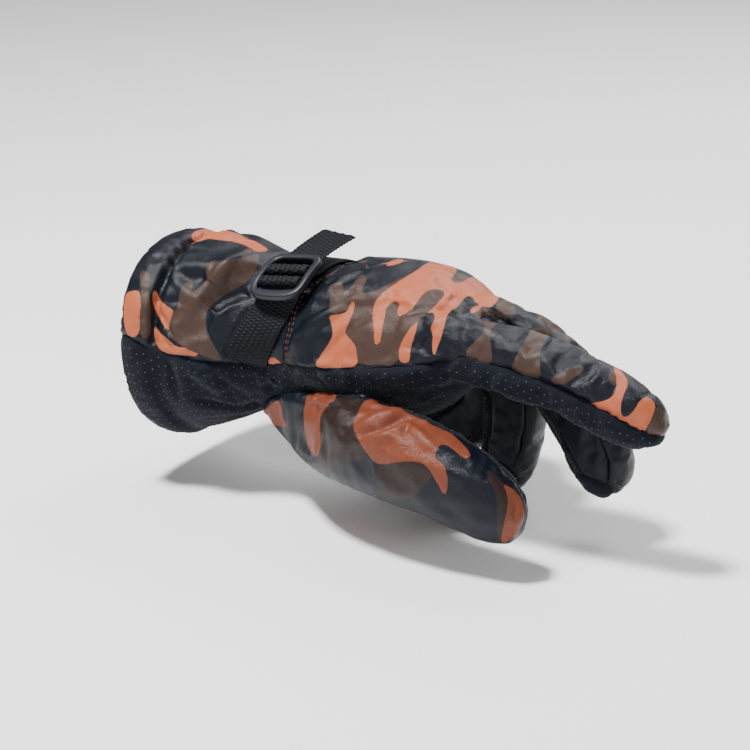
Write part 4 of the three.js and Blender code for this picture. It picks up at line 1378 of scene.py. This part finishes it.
# One panel's faces as a piece, with a wall inwards that shows fleece inside and at its edge
def panelPiece(name):
    nodeName, slotName = panelLooks[name]
    mine = faces[labels == panelNumber[name]]
    used, index = np.unique(mine, return_inverse=True)
    piece = objectOf(name, points[used], index.reshape(mine.shape))
    if name in patches:
        prints = printFields(name, points[used], skinNormals[used])
        for field, values in zip(("orangeField", "brownField"), prints):
            attribute = piece.data.attributes.new(field, "FLOAT", "POINT")
            attribute.data.foreach_set("value", values.astype(np.float32))
    wall = piece.modifiers.new("wall", "SOLIDIFY")
    wall.thickness = shell["thickness"] * mm
    wall.offset = -1
    wall.material_offset = wall.material_offset_rim = 1
    # The thumb's back takes the darker copy of the camouflage, painted shade
    looks = ["thumbShadedCamouflage" if name == "thumbBack" else slotName, "fleece"]
    return settled(piece, slotName, nodeName, looks=looks, fill=shell["fill"])


skinNormals = pointNormals(points, faces, noTris)
for name in panelNames:
    panelPiece(name)
report("panels as pieces")


# The sleeve of lining inside the cuff: a wall's section carried round the body's sections
lining = {
    "inset": 3.8, "deepInset": 8.5, "thickness": 2.0, "depth": 44.0, "proud": 0.6, "fill": 0.3,
    "wave": 0.5, "waveTop": 0.3, "waveFrom": 0.3, "waveRise": 40, "around": 220, "steps": 30,
    "soften": 0.004,
}


def liningSleeve():
    angles = turns(lining["around"])
    length, thick = lining["depth"] / glove["bodyLength"], lining["thickness"]
    steps = np.linspace(length, 0, lining["steps"])
    turn = np.linspace(0, np.pi, 7)[1:-1]
    deeper = lambda t: (lining["deepInset"] - lining["inset"]) * smoothStep(0, 1, t / length)
    rows = [(t, lining["inset"] + deeper(t), 0.0) for t in steps]
    rows += [(0.0, lining["inset"] + thick / 2 * (1 - math.cos(a)), -math.sin(a) * thick / 2) for a in turn]
    rows += [(t, lining["inset"] + thick + deeper(t), 0.0) for t in steps[::-1]]
    rings = []
    for t, inset, ahead in rows:
        ring = sectionPoints(bodySection([t], lining["soften"]), angles, inset)[0]
        wave = np.sin(7 * angles + 9 * t) + 0.6 * np.sin(17 * angles + 2)
        wave *= lining["wave"] * min(1, t * lining["waveRise"] + lining["waveFrom"])
        out = unit(ring - ring.mean(0)) * np.minimum(wave, lining["waveTop"])[:, None]
        rings.append(ring + out + [ahead - lining["proud"], 0, 0])
    count = len(angles)
    quads = gridFaces(len(rows), count)[:, ::-1]
    k = np.arange(count)
    last = (len(rows) - 1) * count
    closing = np.stack([last + k, k, (k + 1) % count, last + (k + 1) % count], axis=1)
    piece = objectOf("liningSleeve", np.concatenate(rings), np.concatenate([quads, closing]))
    return settled(piece, "fleece", "lining", fill=lining["fill"])


liningSleeve()
report("lining")


# Straps: a ribbed band's section carried along the way, round the buckle's bars

# Rows of the way on the glove, from its end to the buckle
def gloveRun(below):
    run = np.abs((bandCentre - foot) @ alongStrap) > buckle["length"] / 2 - 1
    run &= (wayU < 0) if below else (wayU > 0)
    rows = np.concatenate([bandCentre[run], bandAcross[run]], axis=1)
    return rows if below else rows[::-1]


# Rows near the buckle, each with the buckle's line across
def withAcross(rows):
    return np.concatenate([rows, np.repeat(across[None], len(rows), axis=0)], axis=1)


# Rows near a bar: along from it in millimetres, and up in layers of webbing
def pastBar(bar, rows):
    return withAcross(nearBuckle([(buckle[bar] + s, onGlove + n * layer) for s, n in rows]))


# A turn over a bar: a rounded box round it, half a webbing away
def overBar(bar):
    half, rise = ((buckle[side] - strap["thickness"]) / 2 + layer for side in ("bar", "thickness"))
    turn = ((-1, -0.3), (-1, 0.5), (-0.85, 0.85), (-0.45, 1), (0.45, 1), (0.85, 0.85), (1, 0.5), (1, -0.3))
    return withAcross(nearBuckle([(buckle[bar] + s * half, frameHeight + n * rise) for s, n in turn]))


# Corners cut twice, then rows at even steps of the path's length
def softened(rows, step):
    for _ in range(2):
        cut = np.empty((2 * len(rows), rows.shape[1]))
        cut[0], cut[-1] = rows[0], rows[-1]
        cut[1:-1:2], cut[2:-1:2] = 0.75 * rows[:-1] + 0.25 * rows[1:], 0.25 * rows[:-1] + 0.75 * rows[1:]
        rows = cut
    run = runAlong(rows[:, :3])
    even = np.linspace(0, run[-1], int(run[-1] / step) + 2)
    return between(even, run, rows), even


webbing = {"step": 0.36, "columns": 56, "warp": 2.6, "rib": 1.7, "depth": 0.6, "edge": 16, "wobble": 0.25}


# A flat band: bars of weft across the way, out of step in neighbouring warp columns, stand up from it.
def strapPiece(name, node, rows):
    rows, run = softened(rows, webbing["step"])
    middle, side = rows[:, :3], unit(rows[:, 3:])
    tangent = unit(np.gradient(middle, axis=0))
    normal = unit(np.cross(side, tangent))
    w = np.linspace(-1, 1, webbing["columns"])
    edge = np.sqrt(np.clip(1 - np.abs(w) ** webbing["edge"], 0.04, 1))
    columns = w * strap["width"] / 2
    phase = np.floor(columns / webbing["warp"] + 0.5) % 2
    rib = np.abs(np.sin(np.pi * (run[:, None] / webbing["rib"] + phase / 2)))
    ridge = np.abs(np.cos(np.pi * columns / webbing["warp"])) ** 0.6
    height = (strap["thickness"] / 2 - webbing["depth"] / 2 + webbing["depth"] * rib * ridge) * edge
    wobble = webbing["wobble"] * np.sin(run * 2 * np.pi / webbing["rib"])
    wobble = wobble[:, None] * np.abs(w) ** 8 * np.sign(w)
    flat = middle[:, None] + (columns + wobble)[..., None] * side[:, None]
    top = flat + height[..., None] * normal[:, None]
    bottom = flat - height[..., None] * normal[:, None]
    bandPoints, bandFaces = closedTube(np.concatenate([top, bottom[:, ::-1]], axis=1))
    return settled(objectOf(name, bandPoints, bandFaces), "webbing", node)


lowerRows = np.concatenate([
    gloveRun(True), pastBar("firstBar", [(-5.4, 0.06), (-3.4, 0.8)]), overBar("firstBar"),
    pastBar("firstBar", [(1.8, 1.12), (0.5, 0.97), (-1, 0.95)])])
tailStart, tailRise = buckle["length"] / 2, math.radians(strap["tailRise"])
tail = [(tailStart + strap["tailLength"] * share * math.cos(tailRise * min(1, 4 * share)),
         onGlove + layer + strap["tailLength"] * share * math.sin(tailRise * min(1, 4 * share)),
         strap["tailSide"] * share ** 1.4)
        for share in (0.12, 0.3, 0.5, 0.75, 1)]
upperRows = np.concatenate([
    gloveRun(False), pastBar("secondBar", [(3.2, 0.02), (0.2, 0.1), (-1.9, 0.8)]), overBar("secondBar"),
    pastBar("secondBar", [(2.9, 1.5), (4.4, 1.08)]), withAcross(nearBuckle([(tailStart, onGlove + layer)])),
    withAcross(nearBuckle(tail))])
# The tail swings to one side, so its line across turns with it
swing = np.linspace(0, 1, len(tail)) * math.atan2(0.4 * strap["tailSide"], strap["tailLength"])
upperRows[-len(tail):, 3:] = across * np.cos(swing)[:, None] - alongStrap * np.sin(swing)[:, None]
strapPiece("strapLower", "strap_lower", lowerRows)
strapPiece("strapUpper", "strap_upper", upperRows)


# Buckle: an arched rounded ring and two bars, all with rounded sections, fused into one
ladder = {"power": 4.5, "low": 5.2, "high": 3.4, "bend": 1.2, "voxel": 0.34, "steps": 160, "sides": 28}


# A rounded section, a flattened oval, carried along a path
def rod(path, wide, halfWide, halfHigh, closed=False):
    path = np.asarray(path, float)
    if closed:
        tangent = unit(np.roll(path, -1, axis=0) - np.roll(path, 1, axis=0))
    else:
        tangent = unit(np.gradient(path, axis=0))
    wide = np.broadcast_to(wide, path.shape)
    side = unit(wide - tangent * (wide * tangent).sum(1)[:, None])
    up = np.cross(tangent, side)
    a = turns(ladder["sides"])
    c, s = np.sign(np.cos(a)) * np.abs(np.cos(a)) ** 0.6, np.sign(np.sin(a)) * np.abs(np.sin(a)) ** 0.6
    halfWide = np.broadcast_to(halfWide, len(path))[:, None, None]
    rings = path[:, None] + halfWide * c[:, None] * side[:, None] + (halfHigh * s)[:, None] * up[:, None]
    if not closed:
        return closedTube(rings)
    loop = np.concatenate([rings, rings[:1]])
    return loop.reshape(-1, 3), gridFaces(len(loop), len(a)).tolist()


# The ring's middle line is a rounded rectangle: cosine and sine to the power 2 over the corners' power.
# Its side rails arch up from the glove, its lower rail is broader and bows out a little.
def bucklePiece():
    halfWidth, halfLength = buckle["width"] / 2, buckle["length"] / 2
    high = buckle["thickness"] / 2
    place = lambda x, s, n: (foot + x[:, None] * across + s[:, None] * alongStrap
                             + (frameHeight + n)[:, None] * outward)
    a = turns(ladder["steps"])
    corner = lambda v: np.sign(v) * np.abs(v) ** (2 / ladder["power"])
    low = smoothStep(0.5, 1, -np.sin(a))
    rail = np.interp(np.abs(np.cos(a)), [0.35, 0.85], [0, 1])
    end = ladder["high"] + (ladder["low"] - ladder["high"]) * low
    half = (buckle["side"] * rail + (1 - rail) * end) / 2
    x = (halfWidth - half) * corner(np.cos(a))
    s = (halfLength - half) * corner(np.sin(a))
    s = s - ladder["bend"] * low * (1 - (x / halfWidth) ** 2)
    arch = np.cos(np.pi * np.clip(s / buckle["length"], -0.5, 0.5)) ** 2
    arch = buckle["arch"] * arch * np.abs(x / halfWidth) ** 2
    ringPath = place(x, s, arch)
    parts = [rod(ringPath, unit(ringPath - ringPath.mean(0)), half, high, closed=True)]
    bars = np.linspace(-halfWidth + 1.5, halfWidth - 1.5, 9)
    for bar in ("firstBar", "secondBar"):
        line = place(bars, np.full(len(bars), buckle[bar]), np.zeros(len(bars)))
        parts.append(rod(line, alongStrap, buckle["bar"] / 2, high))
    places, quads = fused(parts, ladder["voxel"])
    places = relaxed(places, edgesOf(quads), 4, give=0.5, back=0.5)
    return settled(objectOf("buckle", places, quads), "buckle_plastic", "buckle")


bucklePiece()
report("straps and buckle")


# Grip dots: low domes in staggered rows on the palm's and the thumb's cloth

dots = {"pitch": 4.2, "row": 3.0, "radius": 0.34, "height": 0.24, "sides": 8, "farthest": 7.0, "apart": 2.6,
        "clear": 1.4, "lean": 0.45, "onForm": 1.0, "sizes": (0.75, 1.1), "seed": 21,
        "rings": ((1.0, -0.25), (0.86, 0.6), (0.45, 1.0)), "first": 3.0, "last": 0.985}  # width, height


# The nearest points and normals of the skin, and the panel there
def onSkin(tree, places):
    found = [tree.find_nearest(Vector(place)) for place in places]
    return (np.array([hit[0] for hit in found]), np.array([hit[1] for hit in found]),
            np.array([hit[2] for hit in found]), np.array([hit[3] for hit in found]))


# Rings of points round a form at even arc lengths, every other ring half a pitch on
def staggeredRows(sectionAt, length, start, end):
    angles = np.linspace(0, 2 * np.pi, 361)
    places = []
    for number, along in enumerate(np.arange(start, end, dots["row"])):
        ring = sectionPoints(sectionAt([along / length]), angles)[0]
        run = runAlong(ring)
        steps = np.arange(number % 2 * dots["pitch"] / 2, run[-1] - dots["pitch"] / 2, dots["pitch"])
        places.append(between(steps, run, ring))
    return np.concatenate(places)


# Places kept: on the right panel, off its seams, on a side that faces out, and apart from those before
def dotPlaces():
    tree = BVHTree.FromPolygons(points.tolist(), faces.tolist())
    length = glove["bodyLength"]
    groups = [(staggeredRows(bodySection, length, dots["first"], lastAt * length), "palmPanel")]
    for name in digits:
        length = digits[name]["length"]
        first = 0.2 * length if name == "thumb" else (webs[name] - 0.02) * length
        rows = staggeredRows(lambda t: digitSection(name, t), length, first, dots["last"] * length)
        groups.append((rows, "thumbFront" if name == "thumb" else "palmPanel"))
    rng = np.random.default_rng(dots["seed"])
    kept, keptNormals = [], []
    for places, panelName in groups:
        spots, normals, hitFaces, gaps = onSkin(tree, places)
        offset = unit(spots - places + 1e-9)
        good = (labels[hitFaces] == panelNumber[panelName]) & (gaps < dots["farthest"])
        good &= (gaps < dots["onForm"]) | (np.abs((offset * normals).sum(1)) > dots["lean"])
        good &= skinSeamDistance[faces[hitFaces][:, 0]] > dots["clear"]
        spots, normals = spots[good], normals[good]
        if kept:
            before = np.concatenate(kept)
            nearest = np.array([np.linalg.norm(before - spot, axis=1).min() for spot in spots])
            spots, normals = spots[nearest > dots["apart"]], normals[nearest > dots["apart"]]
        kept.append(spots)
        keptNormals.append(normals)
    spots, normals = np.concatenate(kept), np.concatenate(keptNormals)
    return spots, unit(normals), rng.uniform(*dots["sizes"], len(spots))


# A dome: two rings and a top, set on the cloth and turned to its normal
def domes(spots, normals, sizes):
    sides = dots["sides"]
    a = turns(sides)
    first = unit(np.cross(normals, [0.31, 0.87, 0.37]))
    second = np.cross(normals, first)
    rings = []
    for radius, height in dots["rings"]:
        reach = (sizes * dots["radius"] * radius)[:, None, None]
        rings.append(spots[:, None] + reach * (np.cos(a)[:, None] * first[:, None]
                                               + np.sin(a)[:, None] * second[:, None])
                     + normals[:, None] * dots["height"] * height)
    shape = np.stack(rings, axis=1).reshape(-1, 3)
    caps = np.stack([2 * sides + np.arange(sides), np.arange(sides)[::-1]])
    starts = np.arange(len(spots))[:, None, None] * 3 * sides
    return shape, [face for one in (gridFaces(3, sides), caps)
                   for face in (one + starts).reshape(-1, one.shape[1]).tolist()]


skinSeamDistance = np.concatenate([seamDistance, np.zeros(len(points) - len(seamDistance))])
dotSpots, dotNormals, dotSizes = dotPlaces()
gripDots = objectOf("gripDots", *domes(dotSpots, dotNormals, dotSizes))
settled(gripDots, "grip_dots")
report(f"grip dots: {len(dotSpots)}")


# Stitches: two rows of thread beside the seam across the wrist, on the hand's side of it

stitch = {
    "rows": (1.3, 3.4), "length": 2.1, "gap": 0.75, "thick": 0.42, "sink": 0.12, "samples": 240,
    "bow": (-0.9, 0.35, 0.6, 0.35, -0.9), "taper": (0.5, 0.95, 1, 0.95, 0.5), "sides": 6,
    "rounds": 8, "give": 0.8, "first": 0.5, "past": 0.9,
}


# A row lies where the seam's own distance field is one value: at each angle round the wrist the place along
# the glove comes from a few steps of correction. Stitches are short capsules along it.
def stitchRow(tree, offset):
    past = stitch["past"] * seamAngle
    angle = np.linspace(math.pi + past, -past, stitch["samples"])
    t = np.full(len(angle), glove["wristSeam"]["at"])
    for _ in range(stitch["rounds"]):
        ring = onSection(bodySection(t), angle)
        t = t - stitch["give"] * (crossSeam(ring) - offset) / glove["bodyLength"]
    spots, normals, hitFaces, _ = onSkin(tree, ring)
    run = runAlong(spots)
    starts = np.arange(stitch["first"], run[-1] - stitch["length"], stitch["length"] + stitch["gap"])
    printed = (panelNumber["backPanel"], panelNumber["cuffBack"])
    a, parts = turns(stitch["sides"]), []
    for start in starts:
        at = start + np.linspace(0, 1, 5) * stitch["length"]
        line, out = between(at, run, spots), unit(between(at, run, normals))
        if labels[hitFaces[np.searchsorted(run, at[2]) - 1]] not in printed:
            continue
        line = line + out * (np.array(stitch["bow"]) * stitch["thick"] / 2 - stitch["sink"])[:, None]
        tangent = unit(np.gradient(line, axis=0))
        side = unit(np.cross(tangent, out))
        size = np.array(stitch["taper"])[:, None, None] * stitch["thick"] / 2
        parts.append(closedTube(line[:, None] + size * (
            np.cos(a)[:, None] * side[:, None] + np.sin(a)[:, None] * np.cross(side, tangent)[:, None])))
    return parts


skinTree = BVHTree.FromPolygons(points.tolist(), faces.tolist())
threads = [part for row in stitch["rows"] for part in stitchRow(skinTree, row)]
stitches = objectOf("stitches", *joined(threads))
settled(stitches, "thread")
report("stitches")


# Floor, light and air

studio = {
    "floorDrop": 1.0, "floorSize": 6000.0, "paint": 0.93, "air": 0.2, "aim": (100, 0, 0),
    "lamps": [  # name, place, size and power
        ("softKey", (-250, -300, 1250), 230, 42), ("softNear", (-150, -950, 560), 200, 1.0),
        ("softFill", (900, -900, 500), 900, 5), ("softBack", (300, 1000, 900), 900, 16)],
}


# The floor lies under the lowest point; each lamp looks at the aim.
def floorAndLight():
    low = min(float(points[:, 2].min()), cadBox[0][2] / mm) - studio["floorDrop"]
    half = studio["floorSize"] / 2
    floor = objectOf("floor",
                     [(-half, -half, low), (half, -half, low), (half, half, low), (-half, half, low)],
                     [(0, 1, 2, 3)])
    floor.data.materials.append(newMaterial("floorPaint", (studio["paint"],) * 3, 0.7, 0.3)[0])
    floor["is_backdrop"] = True
    world = bpy.data.worlds.new("air")
    bpy.context.scene.world = world
    world.use_nodes = True
    background = world.node_tree.nodes["Background"]
    background.inputs["Color"].default_value = (1, 1, 1, 1)
    background.inputs["Strength"].default_value = studio["air"]
    for name, place, size, power in studio["lamps"]:
        light = linked(name, bpy.data.lights.new(name, "AREA"))
        light.data.size = size * mm
        light.data.energy = power
        aim = Vector(studio["aim"]) - Vector(place)
        light.matrix_world = aim.to_track_quat("-Z", "Y").to_matrix().to_4x4()
        light.location = Vector(place) * mm


floorAndLight()

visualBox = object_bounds()
({"cad": [list(map(float, corner)) for corner in cadBox],
           "visual": [list(map(float, corner)) for corner in visualBox]})
